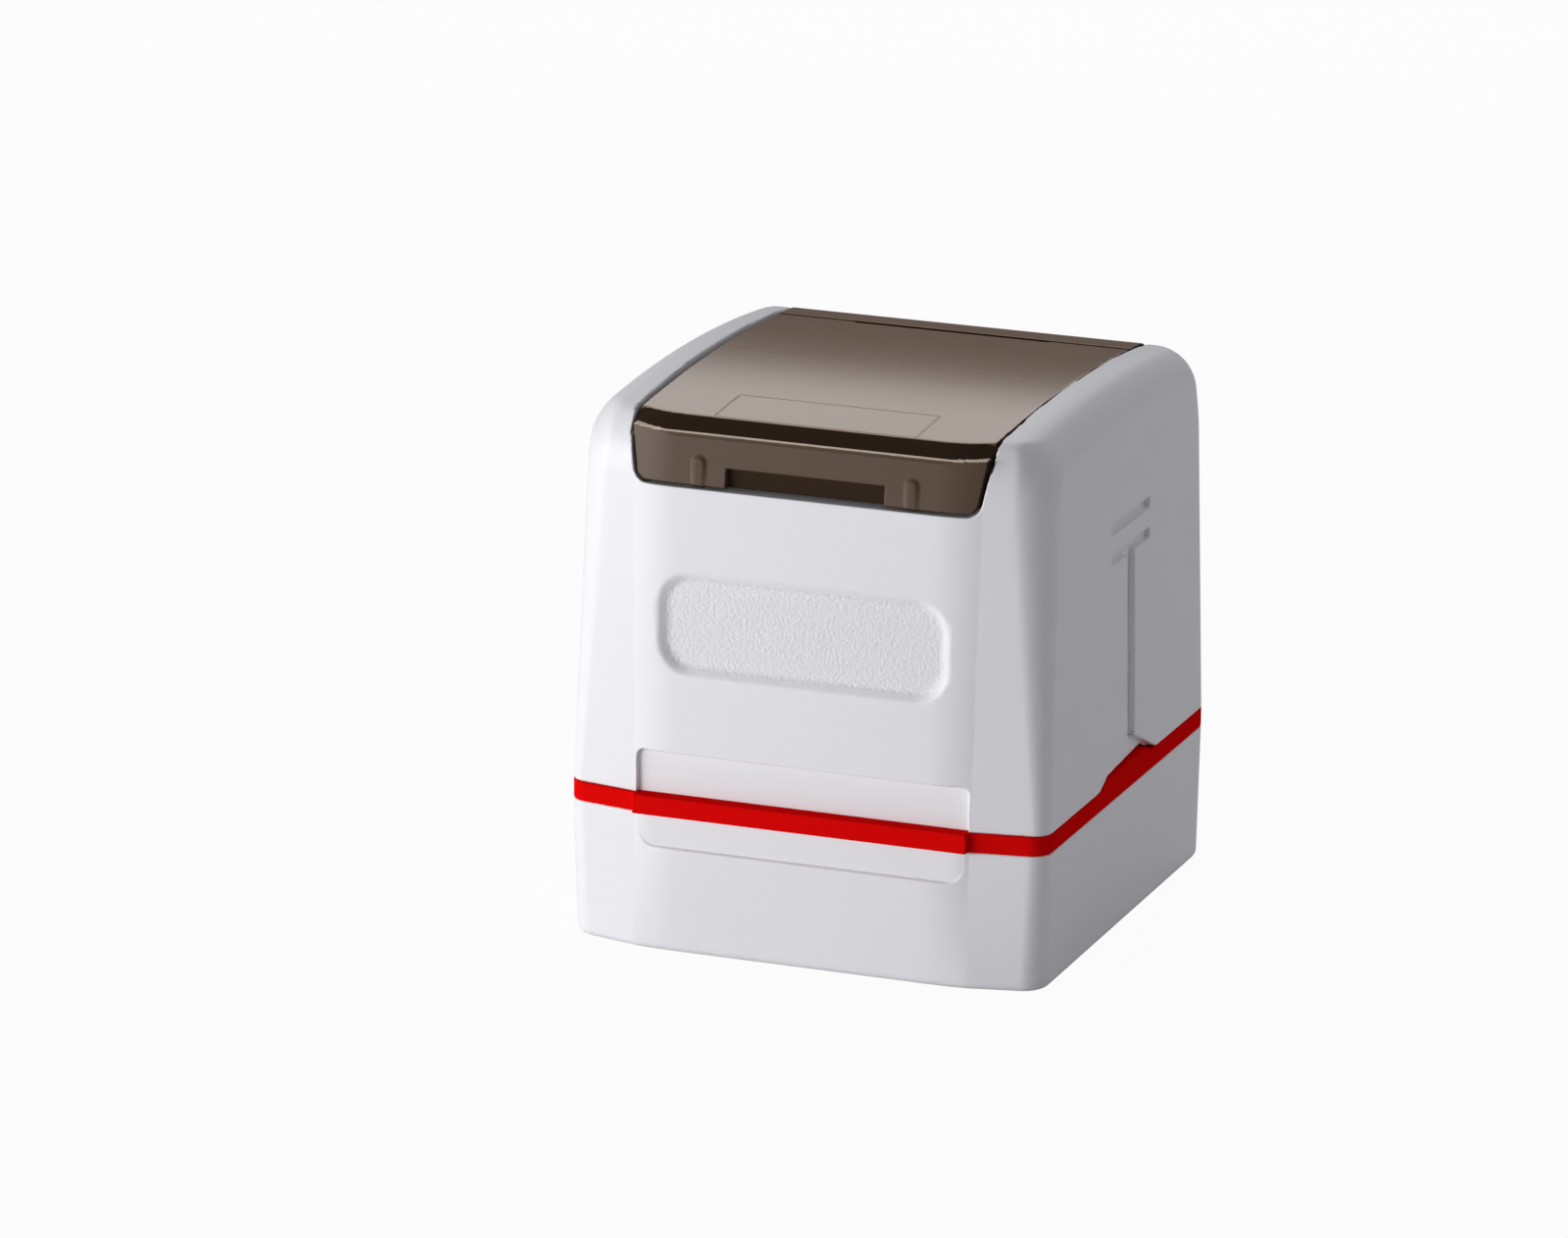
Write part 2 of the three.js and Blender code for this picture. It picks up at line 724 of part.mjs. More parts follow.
function makeHandleShell() {
  const outer = uprightBlock().intersect(archedBlock());
  const hollow = without(outer, [...shellHollow(), ...lidRoom()]);
  const upstandTop = lipShelfTopZ + upstandHeight;
  const upstand = box(-lidHalf, lidHalf, upstandY, upstandBackY, lipShelfZ, upstandTop);
  const ledgeTop = topHeight - shoulderRadius;
  const screwBosses = coreScrewPlaces.map(([x, y]) => post(
    x, y, shellBossRadius, coreFlangeTopZ, ledgeTop, roundSteps));
  const pilots = coreScrewPlaces.map(([x, y]) => post(
    x, y, screwShankRadius + closeGap, coreFlangeTopZ - cutOverrun, coreFlangeZ + screwLength + fitGap));
  const body = joined([hollow, upstand, ...screwBosses]);
  return without(body, [...frontCuts(), ...sideCuts(1), ...sideCuts(-1), ...pilots]);
}

// Window lid

// A block under the arch, from the front to the hinge, whose top lies a drop below the arch
function archSlab(bottomZ, drop, half) {
  const profile = [[hingeY, bottomZ], [frontY, bottomZ]];
  for (let i = 0; i <= archSteps; i += 1) {
    const y = frontY + (hingeY - frontY) * i / archSteps;
    profile.push([y, archTop(y) - drop]);
  }
  return alongX(profile.reverse(), -half, half);
}

// The pillowed front of the lid: a lip that leans back a little and a bevel above it
function lidFront(inset) {
  const levels = [
    [lidLipBottomZ - cutOverrun, 0],
    [lidLipBottomZ, 0],
    [lidLipTopZ, lidLipSlant],
    [lidBevelTopZ, lidLipSlant + lidBevelRun],
    [topHeight, lidLipSlant + lidBevelRun + lidBevelRun],
  ];
  return loft(levels.map(([z, back]) => atHeight(planOutline(shellPlan(z, back), inset), z)));
}

// A low upright rib on the lip's face
function lipRib(x) {
  return box(
    x - lipRibWidth / 2, x + lipRibWidth / 2, lidFrontY - lipRibProud, lidFrontY + lidLipThick / 2,
    lidLipBottomZ, lidLipBottomZ + lipRibHeight);
}

function makeWindowLid() {
  const outer = archSlab(lidLipBottomZ, 0, lidHalf)
    .intersect(lidFront(0))
    .intersect(alongY(lidOutline(0), frontY - cutOverrun, rearY));
  const inner = archSlab(lidLipBottomZ - cutOverrun, lidThick, lidHalf + cutOverrun)
    .intersect(lidFront(lidLipThick));
  const notch = box(
    -lipNotchHalf, lipNotchHalf, frontY - cutOverrun, lidFrontY + lipNotchDepth,
    lidLipBottomZ - cutOverrun, lidLipBottomZ + lipNotchHeight);
  const ribs = [-lipRibX, lipRibX].map(lipRib);
  const barrel = rod(hingeY, hingeZ, barrelRadius, -lidHalf, lidHalf, roundSteps);
  const grooveY = hingeY - lidGrooveSetback;
  const groove = box(
    -lidHalf - cutOverrun, lidHalf + cutOverrun, grooveY - lidGrooveWidth / 2, grooveY + lidGrooveWidth / 2,
    archTop(grooveY) - lidGrooveDepth, topHeight + cutOverrun);
  const trunnionEnd = lidHalf + trunnionLength;
  const trunnions = rod(hingeY, hingeZ, trunnionRadius, -trunnionEnd, trunnionEnd);
  const sheet = joined([without(outer, [inner]), barrel]);
  return joined([without(sheet, [groove, notch]), trunnions, ...ribs]);
}

// Core and index label

const springX = sideX - skirtInset - springInset;
const springReach = sideHalfDepth - skirtInset - springInset;
const springPlaces = [-1, 1].flatMap((side) => [-1, 1].map((end) => [
  side * springX, sideMiddleY + end * springReach]));
const holderScrewPlaces = [-1, 1].map((end) => [0, sideMiddleY + end * holderScrewY]);
const inkPlaces = [-1, 1].map((side) => [side * inkTubeX, sideMiddleY]);

function makeCore() {
  const flange = alongZ(
    roundedRectangle(
      closeGap - cavityHalf, cavityHalf - closeGap, cavityFrontY + closeGap, cavityRearY - closeGap,
      coreFlangeRadius),
    coreFlangeZ, coreFlangeTopZ);
  const deck = box(-deckHalf, deckHalf, deckFrontY, deckBackY, coreFlangeZ, deckTopZ);
  const deckHollow = box(
    deckWall - deckHalf, deckHalf - deckWall, deckFrontY + deckWall, deckBackY - deckWall,
    coreFlangeZ - cutOverrun, deckTopZ - deckWall);
  const columnInner = columnHalf - columnWall;
  const column = box(
    -columnHalf, columnHalf, sideMiddleY - columnHalf, sideMiddleY + columnHalf,
    holderTopZ, deckTopZ - deckWall / 2);
  const columnHollow = box(
    -columnInner, columnInner, sideMiddleY - columnInner, sideMiddleY + columnInner,
    holderTopZ - cutOverrun, deckTopZ - deckWall);
  const tubes = inkPlaces.map(([x, y]) => post(x, y, inkTubeRadius, holderTopZ, deckTopZ - deckWall / 2));
  const bosses = holderScrewPlaces.map(([x, y]) => post(
    x, y, holderBossRadius, holderTopZ, holderTopZ + holderBossHeight));
  const pegs = springPlaces.map(([x, y]) => post(x, y, pegRadius, coreFlangeZ - pegLength, coreFlangeTopZ));
  const shellOfCore = without(joined([flange, deck]), [deckHollow]);
  const tubeOfCore = without(column, [columnHollow]);
  const body = joined([shellOfCore, tubeOfCore, ...tubes, ...bosses, ...pegs]);
  const bores = inkPlaces.map(([x, y]) => post(
    x, y, inkBoreRadius, holderTopZ - cutOverrun, deckTopZ + cutOverrun));
  const screwHoles = coreScrewPlaces.map(([x, y]) => post(
    x, y, screwShankRadius + closeGap, coreFlangeZ - cutOverrun, coreFlangeTopZ + cutOverrun));
  const pilotTop = padTopZ + screwHeadHeight + holderScrewLength;
  const pilots = holderScrewPlaces.map(([x, y]) => post(
    x, y, screwShankRadius + closeGap, holderTopZ - cutOverrun, pilotTop));
  const labelRoom = box(
    -labelHalf - closeGap, labelHalf + closeGap,
    deckFrontY + labelInset - closeGap, deckBackY - labelInset + closeGap,
    deckTopZ - labelRecess, deckTopZ + cutOverrun);
  return without(body, [...bores, ...screwHoles, ...pilots, labelRoom]);
}

function makeLabel() {
  const floor = deckTopZ - labelRecess;
  return box(
    -labelHalf, labelHalf, deckFrontY + labelInset, deckBackY - labelInset, floor, floor + labelThick);
}

// A screw that stands head down, driven upwards
function makeScrew([x, y], headZ, length) {
  const shank = post(x, y, screwShankRadius, headZ - screwHeadHeight / 2, headZ + length);
  const head = post(x, y, screwHeadRadius, headZ - screwHeadHeight, headZ, roundSteps);
  const slot = box(
    x - screwHeadRadius, x + screwHeadRadius, y - screwSlotWidth / 2, y + screwSlotWidth / 2,
    headZ - screwHeadHeight - cutOverrun, headZ - screwHeadHeight + screwSlotDepth);
  return without(joined([shank, head]), [slot]);
}

// Die, pad, holder and clamp

function makeDie() {
  return joined([
    worksBlock(dieFaceInset, leastRadius, dieFaceZ, dieStepZ),
    worksBlock(dieFlangeInset, leastRadius, dieStepZ, dieTopZ),
  ]);
}

function makePad() {
  return worksBlock(padInset, leastRadius, dieTopZ, padTopZ);
}

function makeHolder() {
  const tray = without(worksBlock(dieFlangeInset, leastRadius, dieTopZ, holderTopZ), [
    worksBlock(dieFlangeInset + holderRim, leastRadius, dieTopZ - cutOverrun, padTopZ),
  ]);
  const bores = inkPlaces.map(([x, y]) => post(x, y, inkBoreRadius, dieTopZ, holderTopZ + cutOverrun));
  const screwHoles = holderScrewPlaces.map(([x, y]) => post(
    x, y, screwShankRadius + closeGap, dieTopZ, holderTopZ + cutOverrun));
  const headRooms = holderScrewPlaces.map(([x, y]) => post(
    x, y, screwHeadRadius + closeGap, dieTopZ, padTopZ + screwHeadHeight, roundSteps));
  return without(tray, [...bores, ...screwHoles, ...headRooms]);
}

function makeClamp() {
  return without(worksBlock(clampInset, clampRadius, clampBottomZ, clampBottomZ + clampWallHeight), [
    worksBlock(clampInset + clampWall, leastRadius, dieStepZ, clampBottomZ + clampWallHeight + cutOverrun),
    worksBlock(dieFaceInset - closeGap, leastRadius, clampBottomZ - cutOverrun, dieStepZ + cutOverrun),
  ]);
}

// Skirt and springs

function makeSkirt() {
  const columnRoom = columnHalf + slideGap;
  const wall = without(worksBlock(skirtInset, skirtRadius, skirtBottomZ, skirtTopZ), [
    worksBlock(skirtInset + skirtWall, skirtRadius - skirtWall / 2, skirtBottomZ - cutOverrun, skirtFlangeZ),
    box(-columnRoom, columnRoom, sideMiddleY - columnRoom, sideMiddleY + columnRoom,
      skirtFlangeZ - cutOverrun, skirtTopZ + cutOverrun),
  ]);
  const posts = springPlaces.map(([x, y]) => post(x, y, pegRadius, skirtFlangeZ, skirtTopZ + postHeight));
  return joined([wall, ...posts]);
}

// One unbroken wire wound up from the skirt's flange to the core's flange
function springGeometry([x, y]) {
  const wireRadius = springWire / 2;
  const startZ = skirtTopZ + springWire;
  const endZ = coreFlangeZ - springWire;
  const steps = springTurns * springStepsPerTurn;
  const positions = [];
  const triangles = [];
  for (let i = 0; i <= steps; i += 1) {
    const angle = Math.PI * 2 * i / springStepsPerTurn;
    const z = startZ + (endZ - startZ) * i / steps;
    for (let j = 0; j < springSides; j += 1) {
      const around = Math.PI * 2 * j / springSides;
      const reach = springRadius + wireRadius * Math.cos(around);
      const rise = wireRadius * Math.sin(around);
      positions.push(x + reach * Math.cos(angle), y + reach * Math.sin(angle), z + rise);
    }
  }
  for (let i = 0; i < steps; i += 1) {
    for (let j = 0; j < springSides; j += 1) {
      const next = (j + 1) % springSides;
      const low = i * springSides;
      const high = low + springSides;
      triangles.push(low + j, high + j, high + next, low + j, high + next, low + next);
    }
  }
  const last = steps * springSides;
  for (let j = 1; j + 1 < springSides; j += 1) {
    triangles.push(0, j, j + 1, last, last + j + 1, last + j);
  }
  const geometry = new THREE.BufferGeometry();
  geometry.setAttribute('position', new THREE.BufferAttribute(new Float32Array(positions), 3));
  geometry.setIndex(triangles);
  return geometry;
}

// Materials

function material(color, roughness, metalness = 0) {
  return new THREE.MeshStandardMaterial({ color, roughness, metalness });
}

const whitePlastic = material(0xeeeef2, 0.35);
const redPlastic = material(0xc80c0c, 0.3);
const smokedPlastic = material(0x5c4a3e, 0.12);
const greyPlastic = material(0xb9bbbf, 0.5);
const darkPlastic = material(0x2a2b2e, 0.5);
const paper = material(0xf4f2ea, 0.9);
const foam = material(0x33343a, 0.95);
const dieFoam = material(0xd9b9a8, 0.8);
const steel = material(0xa9adb2, 0.3, 1);

// Assembly

const stamp = new THREE.Group();

function place(name, solidOrGeometry, finish) {
  const geometry = solidOrGeometry.isBufferGeometry ? solidOrGeometry : toGeometry(solidOrGeometry);
  const mesh = new THREE.Mesh(geometry, finish);
  mesh.name = name;
  stamp.add(mesh);
}

place('dust_cap', makeDustCap(), whitePlastic);
place('retaining_ring', makeRetainingRing(), redPlastic);
place('handle_shell', makeHandleShell(), whitePlastic);
place('window_lid', makeWindowLid(), smokedPlastic);
place('mount_core', makeCore(), greyPlastic);
place('index_label', makeLabel(), paper);
coreScrewPlaces.forEach((spot, i) => {
  place(`core_screw_${i + 1}`, makeScrew(spot, coreFlangeZ, screwLength), steel);
});
place('die_holder', makeHolder(), darkPlastic);
holderScrewPlaces.forEach((spot, i) => {
  place(`holder_screw_${i + 1}`, makeScrew(spot, padTopZ + screwHeadHeight, holderScrewLength), steel);
});
place('ink_pad', makePad(), foam);
place('stamp_die', makeDie(), dieFoam);
place('die_clamp', makeClamp(), darkPlastic);
place('skirt_frame', makeSkirt(), greyPlastic);
springPlaces.forEach((spot, i) => {
  place(`return_spring_${i + 1}`, springGeometry(spot), steel);
});

export default stamp;
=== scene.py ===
"""Pre-inked stamp: white handle with a smoked window lid, a red retaining ring and a white dust cap."""

import math

import bpy
import numpy as np
from mathutils import Matrix, Vector


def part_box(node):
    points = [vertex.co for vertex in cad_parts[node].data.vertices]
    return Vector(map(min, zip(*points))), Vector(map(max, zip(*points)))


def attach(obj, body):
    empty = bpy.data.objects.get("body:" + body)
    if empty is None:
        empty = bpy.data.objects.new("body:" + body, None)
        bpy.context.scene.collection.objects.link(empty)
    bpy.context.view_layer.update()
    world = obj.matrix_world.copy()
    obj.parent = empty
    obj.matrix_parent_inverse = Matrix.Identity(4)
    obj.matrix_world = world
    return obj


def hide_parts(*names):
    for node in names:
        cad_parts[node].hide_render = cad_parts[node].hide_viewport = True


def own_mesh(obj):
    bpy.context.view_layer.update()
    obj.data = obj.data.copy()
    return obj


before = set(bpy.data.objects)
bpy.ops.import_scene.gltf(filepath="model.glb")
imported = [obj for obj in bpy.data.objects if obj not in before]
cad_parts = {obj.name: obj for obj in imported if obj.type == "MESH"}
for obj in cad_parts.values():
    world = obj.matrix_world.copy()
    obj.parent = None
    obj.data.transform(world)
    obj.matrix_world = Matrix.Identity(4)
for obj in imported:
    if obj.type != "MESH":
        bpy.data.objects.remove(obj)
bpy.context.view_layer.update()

MM = 0.001


def millimetre_box(node):
    return [[value / MM for value in corner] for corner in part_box(node)]


# Sizes in millimetres, read off the frame

ring_low, ring_high = millimetre_box("retaining_ring")
lid_low, lid_high = millimetre_box("window_lid")
skirt_low, skirt_high = millimetre_box("skirt_frame")
CHEEK_WIDTH = 6.15
SIDE_X = ring_high[0]
FRONT_Y = ring_low[1]
REAR_Y = ring_high[1]
CAP_TOP = millimetre_box("dust_cap")[1][2]
BAND_TOP = millimetre_box("handle_shell")[0][2]
TOP_Z = lid_high[2]
LID_HALF = SIDE_X - CHEEK_WIDTH
LID_LOW_Z = lid_low[2]
SKIRT_HALF = skirt_high[0]
SIDE_MIDDLE_Y = (skirt_low[1] + skirt_high[1]) / 2

# Outline that the cap, the ring and the shell share
COLUMN_WIDTH = 7.55
PANEL_HALF = SIDE_X - COLUMN_WIDTH
MARGIN_WIDTH = 4.6
MARGIN_ANGLE = math.radians(15.5)
CORNER_SETBACK = 2.0
CAP_RADIUS = 2.3
RING_RADIUS = 1.8
REAR_RADIUS = 3.8
REAR_TOP_RADIUS = 5.0
EDGE_ROUND = 0.22

# Dust cap
CAP_DRAFT = 0.2
CAP_BOTTOM_ROUND = 0.9
CAP_INNER_ROUND = 0.6
CAP_MARGIN_LOW = 0.25
CAP_MARGIN_HIGH = 0.76
CAP_WALL = 1.9
CAP_FLOOR = 1.6
CAP_RECESS_HALF = PANEL_HALF - 0.45
CAP_RECESS_DROP = 3.2
CAP_RECESS_DEPTH = 0.5
CAP_RECESS_RADIUS = 1.8
CAP_RECESS_ROUND = 0.12

# Retaining ring
TAB_HEIGHT = 0.75
TAB_TOP_HALF = 5.8
TAB_BOTTOM_HALF = 7.5
TAB_MIDDLE_Y = 0.0
TAB_THICK = 1.2
TAB_ROUND = 0.12
TAB_ROOT = 0.05
RING_STEP = 0.76
RING_ROUND = 0.1
RING_HOLE_RADIUS = 2.3
RING_HOLE_EDGE = 0.12
RING_LIP_HEIGHT = 2.4
RING_LIP_THICK = 0.9
RING_LIP_RADIUS = 2.5
RING_LIP_GAP = 0.4
RING_OVERLAP = 1.0

# Handle shell
SHELL_INSET = 0.35
SHELL_FRONT_DRAFT = 0.8
SHELL_SIDE_DRAFT = 0.72
SHELL_REAR_DRAFT = 1.35
SHELL_CORNER_SETBACK = 2.25
SHELL_RADIUS_LOW = 1.5
SHELL_RADIUS_HIGH = 4.0
CREASE_STEP_LOW = 0.1
CREASE_STEP_HIGH = 0.7
BEND_HEIGHT = 7.6
BEND_DEPTH = 5.0
BEND_LIMIT = 0.97
ARCH_RADIUS = 185.0
ARCH_MIDDLE_Y = -1.5
SHOULDER_RADIUS = 4.1
FRONT_TOP_RADIUS = 0.45
REAR_TURN_START = 10
REAR_TURN_END = 3
SHELL_WALL = 2.1
SHELL_FRONT_WALL = 2.7
CAVITY_RADIUS = 3.0
CAVITY_EDGE = 0.1
FIT_GAP = 0.3

# Name plate and recess on the shell's front
RECESS_HALF = PANEL_HALF - 0.15
RECESS_HEIGHT = 4.5
RECESS_DEPTH = 1.48
RECESS_RADIUS = 0.8
RECESS_ROUND = 0.15
RECESS_EDGE = 0.16
PLATE_HALF = PANEL_HALF - 2.65
PLATE_HEIGHT = 9.7
PLATE_Z = (BAND_TOP + RECESS_HEIGHT + LID_LOW_Z) / 2 - 0.37
PLATE_DEPTH = 0.66
PLATE_RADIUS = 3.2
PLATE_ROUND = 0.8
PLATE_EDGE = 0.6
PLATE_RIM = 0.2

# Slots, groove, scoop and tab notch on the shell's sides
SLOT_HALF = 5.7
SLOT_HEIGHT = 1.1
SLOT_DEPTH = 0.6
SLOT_RADIUS = 0.4
UPPER_SLOT_Z = TOP_Z - 13.6
LOWER_SLOT_Z = TOP_Z - 16.7
GROOVE_WIDTH = 2.3
GROOVE_DEPTH = 0.65
MARK_ROUND = 0.08
MARK_EDGE = 0.1
SCOOP_HEIGHT = 2.75
SCOOP_SLOPE = 0.47
SCOOP_TIP = 1.5
SCOOP_FALL = 0.055
SCOOP_TILT = 0.15
SCOOP_ROUND = 0.1
SCOOP_EDGE = 0.12
SCOOP_OVERLAP = 0.2
TAB_GAP = 0.28
TAB_REAR_GAP = 0.2
TAB_NOTCH_EDGE = 0.2

# Window lid
LID_TAPER = 0.47
LID_SINK = 0.4
LID_THICK = 1.6
LID_FRONT_ROUND = 0.15
LID_SIDE_ROUND = 0.2
LID_INNER_ROUND = 0.5
LIP_TAPER = 0.85
LIP_RADIUS = 1.0
LIP_TOP_Z = TOP_Z - 2.62
LIP_TOP_BOW = 0.3
LIP_SLANT = 0.6
LIP_LEDGE = 0.25
LIP_THICK = 1.4
LIP_ROUND = 0.12
BEVEL_RISE = 1.2
BEVEL_RUN = 1.5
BEVEL_FALL = 0.9
BEVEL_START = 0.3
BEVEL_ROUND = 0.05
NOTCH_HALF = 8.2
NOTCH_HEIGHT = 2.0
NOTCH_DEPTH = 0.7
NOTCH_EDGE = 0.08
RIB_X = 11.0
RIB_WIDTH = 1.0
RIB_HEIGHT = 2.8
RIB_PROUD = 0.08
RIB_RADIUS = 0.5
RIB_ROUND = 0.2
RIB_ROOT = 0.4
HINGE_Y = REAR_Y - 6.1
BARREL_RADIUS = 2.2
BARREL_ROUND = 0.2
TRUNNION_RADIUS = 1.2
TRUNNION_LENGTH = 1.5
TRUNNION_ROUND = 0.15
LID_GROOVE_SETBACK = 3.4
LID_GROOVE_WIDTH = 0.6
LID_GROOVE_DEPTH = 0.5
LID_GROOVE_EDGE = 0.04
GROOVE_STEP_X = 10.4
GROOVE_STEP = 0.35
LABEL_MARK_HALF = 10.4
LABEL_MARK_LOW_Y = -22.2
LABEL_MARK_HIGH_Y = -15.4
LABEL_MARK_RADIUS = 0.3
LABEL_MARK_WIDTH = 0.14
LABEL_MARK_DEPTH = 0.025

# Bounds of the lid's painted shade and painted highlight
LIP_HIGHLIGHT_HALF = 0.06
EDGE_SHADE_WIDTH = 0.14
BEVEL_SHADE_START = 0.03
BEVEL_SKIN = 0.04
GROOVE_SKIN = 0.08

# The shell's room for the lid, its trunnions and the ring
UPSTAND_GAP = 0.7
UPSTAND_THICK = 1.5
UPSTAND_HEIGHT = 4.4
UPSTAND_ROOT = 0.15
LIP_SHELF = 1.8
BARREL_SHELF = 2.4
WINDOW_DROP = 3
CRADLE_RADIUS = BARREL_RADIUS + 0.4
SWING_FRONT = 0.3
SWING_REAR = 0.9
BEARING_GAP = 0.2
BEARING_DEPTH = 0.6
OPENING_EDGE = 0.14
RING_ROOM_RADIUS = 2.8

# Fields: negative inside, in millimetres


def both(a, b, radius=EDGE_ROUND):
    """What lies in a and in b, with the edge between them rounded."""
    outside = np.hypot(np.maximum(a + radius, 0), np.maximum(b + radius, 0))
    return outside + np.minimum(np.maximum(a, b) + radius, 0) - radius


def either(a, b, radius):
    """What lies in a or in b, with the corner between them filled."""
    return -both(-a, -b, radius)


def less(a, b, radius=EDGE_ROUND):
    """What lies in a and not in b."""
    return both(a, -b, radius)


def mix(low, high, share):
    return low + (high - low) * share


def smooth(low, high, value):
    share = np.clip((value - low) / (high - low), 0, 1)
    return share * share * (3 - 2 * share)


def slab(value, low, high):
    return np.maximum(low - value, value - high)


def rounded_flat(u, v, half_u, half_v, radius):
    """A rounded rectangle round the origin."""
    return both(np.abs(u) - half_u, np.abs(v) - half_v, radius)


# Shapes that several pieces share


def height_share(z):
    return (z - BAND_TOP) / (TOP_Z - BAND_TOP)


def front_face(z):
    """The flat panel of the shell's front, without its bend."""
    return FRONT_Y + SHELL_INSET + SHELL_FRONT_DRAFT * height_share(z)


def shell_side(z):
    return SIDE_X - SHELL_SIDE_DRAFT * height_share(z)


def crease(z):
    """Where the flat panel ends and the column starts."""
    return PANEL_HALF + CREASE_STEP_LOW + (CREASE_STEP_HIGH - CREASE_STEP_LOW) * height_share(z)


def arch(y, z):
    return np.hypot(y - ARCH_MIDDLE_Y, z - TOP_Z + ARCH_RADIUS) - ARCH_RADIUS


def arch_top(y):
    return TOP_Z - ARCH_RADIUS + np.sqrt(ARCH_RADIUS**2 - (y - ARCH_MIDDLE_Y) ** 2)


HINGE_Z = float(arch_top(HINGE_Y)) - BARREL_RADIUS
SHELL_MARGIN = MARGIN_WIDTH * math.tan(MARGIN_ANGLE / 2)
PLATE_FACE = front_face(PLATE_Z)
LID_FACE = front_face(TOP_Z)
UPSTAND_Y = front_face(LIP_TOP_Z) + LIP_SLANT + SHELL_MARGIN + LIP_THICK + UPSTAND_GAP
UPSTAND_LOW_Z = LID_LOW_Z - FIT_GAP - LIP_SHELF
UPSTAND_TOP_Z = LID_LOW_Z - FIT_GAP + UPSTAND_HEIGHT
CAVITY_TOP_Z = min(UPSTAND_LOW_Z, HINGE_Z - BARREL_RADIUS - BARREL_SHELF)


def front_profile(u, margin_drop, column_slope):
    """How far the front lies back at a distance u past the flat panel, with its slope."""
    radius = (MARGIN_WIDTH**2 + margin_drop**2) / (2 * margin_drop)
    on_margin = np.clip(u, 0, MARGIN_WIDTH)
    root = np.sqrt(radius**2 - on_margin**2)
    back = radius - root + np.maximum(u - MARGIN_WIDTH, 0) * column_slope
    slope = np.where(u < MARGIN_WIDTH, on_margin / root, column_slope)
    return back, slope


def works_block(x, y, inset, radius):
    """The square round the works, an inset in from the stamp's sides."""
    half_y = (REAR_Y - FRONT_Y - CORNER_SETBACK) / 2
    return rounded_flat(x, y - SIDE_MIDDLE_Y, SIDE_X - inset, half_y - inset, radius)


def tab_outline(y, z, gap=0.0):
    run = TAB_BOTTOM_HALF - TAB_TOP_HALF
    lean = np.hypot(run, TAB_HEIGHT)
    side = (TAB_HEIGHT * (np.abs(y - TAB_MIDDLE_Y) - TAB_BOTTOM_HALF) + run * (z - BAND_TOP)) / lean
    return np.maximum(side, z - BAND_TOP - TAB_HEIGHT) - gap


def lid_half(y):
    """Half the lid's width, which narrows a little from the hinge to the front."""
    return LID_HALF - LID_TAPER * np.clip((HINGE_Y - y) / (HINGE_Y - FRONT_Y), 0, 1)


def lid_flat(x, y, z, gap=0.0):
    """The lid's outline from the front."""
    taper = LIP_TAPER * np.clip((LIP_TOP_Z - z) / (LIP_TOP_Z - LID_LOW_Z), 0, 1)
    side = np.abs(x) - lid_half(y) + taper
    return both(side, LID_LOW_Z - z, LIP_RADIUS) - gap


# Dust cap


def cap_outline(x, y, z):
    share = np.clip(z / CAP_TOP, 0, 1)
    draft = CAP_DRAFT * (1 - share)
    margin = mix(CAP_MARGIN_LOW, CAP_MARGIN_HIGH, share)
    face = FRONT_Y + draft
    side = SIDE_X - draft
    corner_y = FRONT_Y + CORNER_SETBACK + draft
    across = np.abs(x)
    slope = (corner_y - face - margin) / (side - PANEL_HALF)
    back, along = front_profile(across - PANEL_HALF + MARGIN_WIDTH, margin, slope)
    front = (face + back - y) / np.sqrt(1 + along**2)
    outline = both(front, across - side, mix(CAP_RADIUS, RING_RADIUS, share))
    return both(outline, y - (REAR_Y - draft), REAR_RADIUS)


def cap_field(x, y, z):
    outline = cap_outline(x, y, z)
    outer = both(both(outline, -z, CAP_BOTTOM_ROUND), z - CAP_TOP)
    inner = both(outline + CAP_WALL, CAP_FLOOR - z, CAP_INNER_ROUND)
    recess_z = CAP_TOP + CAP_RECESS_DROP
    recess = rounded_flat(x, z - recess_z, CAP_RECESS_HALF, 2 * CAP_RECESS_DROP, CAP_RECESS_RADIUS)
    recess = both(recess, y - FRONT_Y - CAP_RECESS_DEPTH, CAP_RECESS_ROUND)
    return less(less(outer, inner), recess)


# Retaining ring


def ring_outline(x, y):
    """The columns of the cap's outline with a panel that stands proud of them in a step."""
    across = np.abs(x)
    along = (CORNER_SETBACK - RING_STEP) / COLUMN_WIDTH
    back = FRONT_Y + RING_STEP + along * np.maximum(across - PANEL_HALF, 0)
    column = both((back - y) / math.hypot(1, along), across - SIDE_X, RING_RADIUS)
    panel = both(across - PANEL_HALF, FRONT_Y - y, RING_ROUND)
    outline = np.minimum(column, np.maximum(panel, y - FRONT_Y - CORNER_SETBACK))
    return both(outline, y - REAR_Y, REAR_RADIUS)


def ring_field(x, y, z):
    band = both(ring_outline(x, y), slab(z, CAP_TOP, BAND_TOP), RING_ROUND)
    hole = SIDE_X - SKIRT_HALF - FIT_GAP
    root_z = BAND_TOP - RING_OVERLAP
    lip_wall = works_block(x, y, hole - RING_LIP_THICK, RING_LIP_RADIUS)
    lip = both(lip_wall, slab(z, root_z, BAND_TOP + RING_LIP_HEIGHT))
    lip = less(lip, np.abs(y - TAB_MIDDLE_Y) - TAB_BOTTOM_HALF - RING_LIP_GAP)
    tab_face = shell_side(BAND_TOP + TAB_HEIGHT)
    tab = both(tab_outline(y, z), slab(np.abs(x), tab_face - TAB_THICK, tab_face), TAB_ROUND)
    tab = both(tab, root_z - z)
    solid = np.minimum(either(band, tab, TAB_ROOT), lip)
    return less(solid, works_block(x, y, hole, RING_HOLE_RADIUS), RING_HOLE_EDGE)


# Handle shell


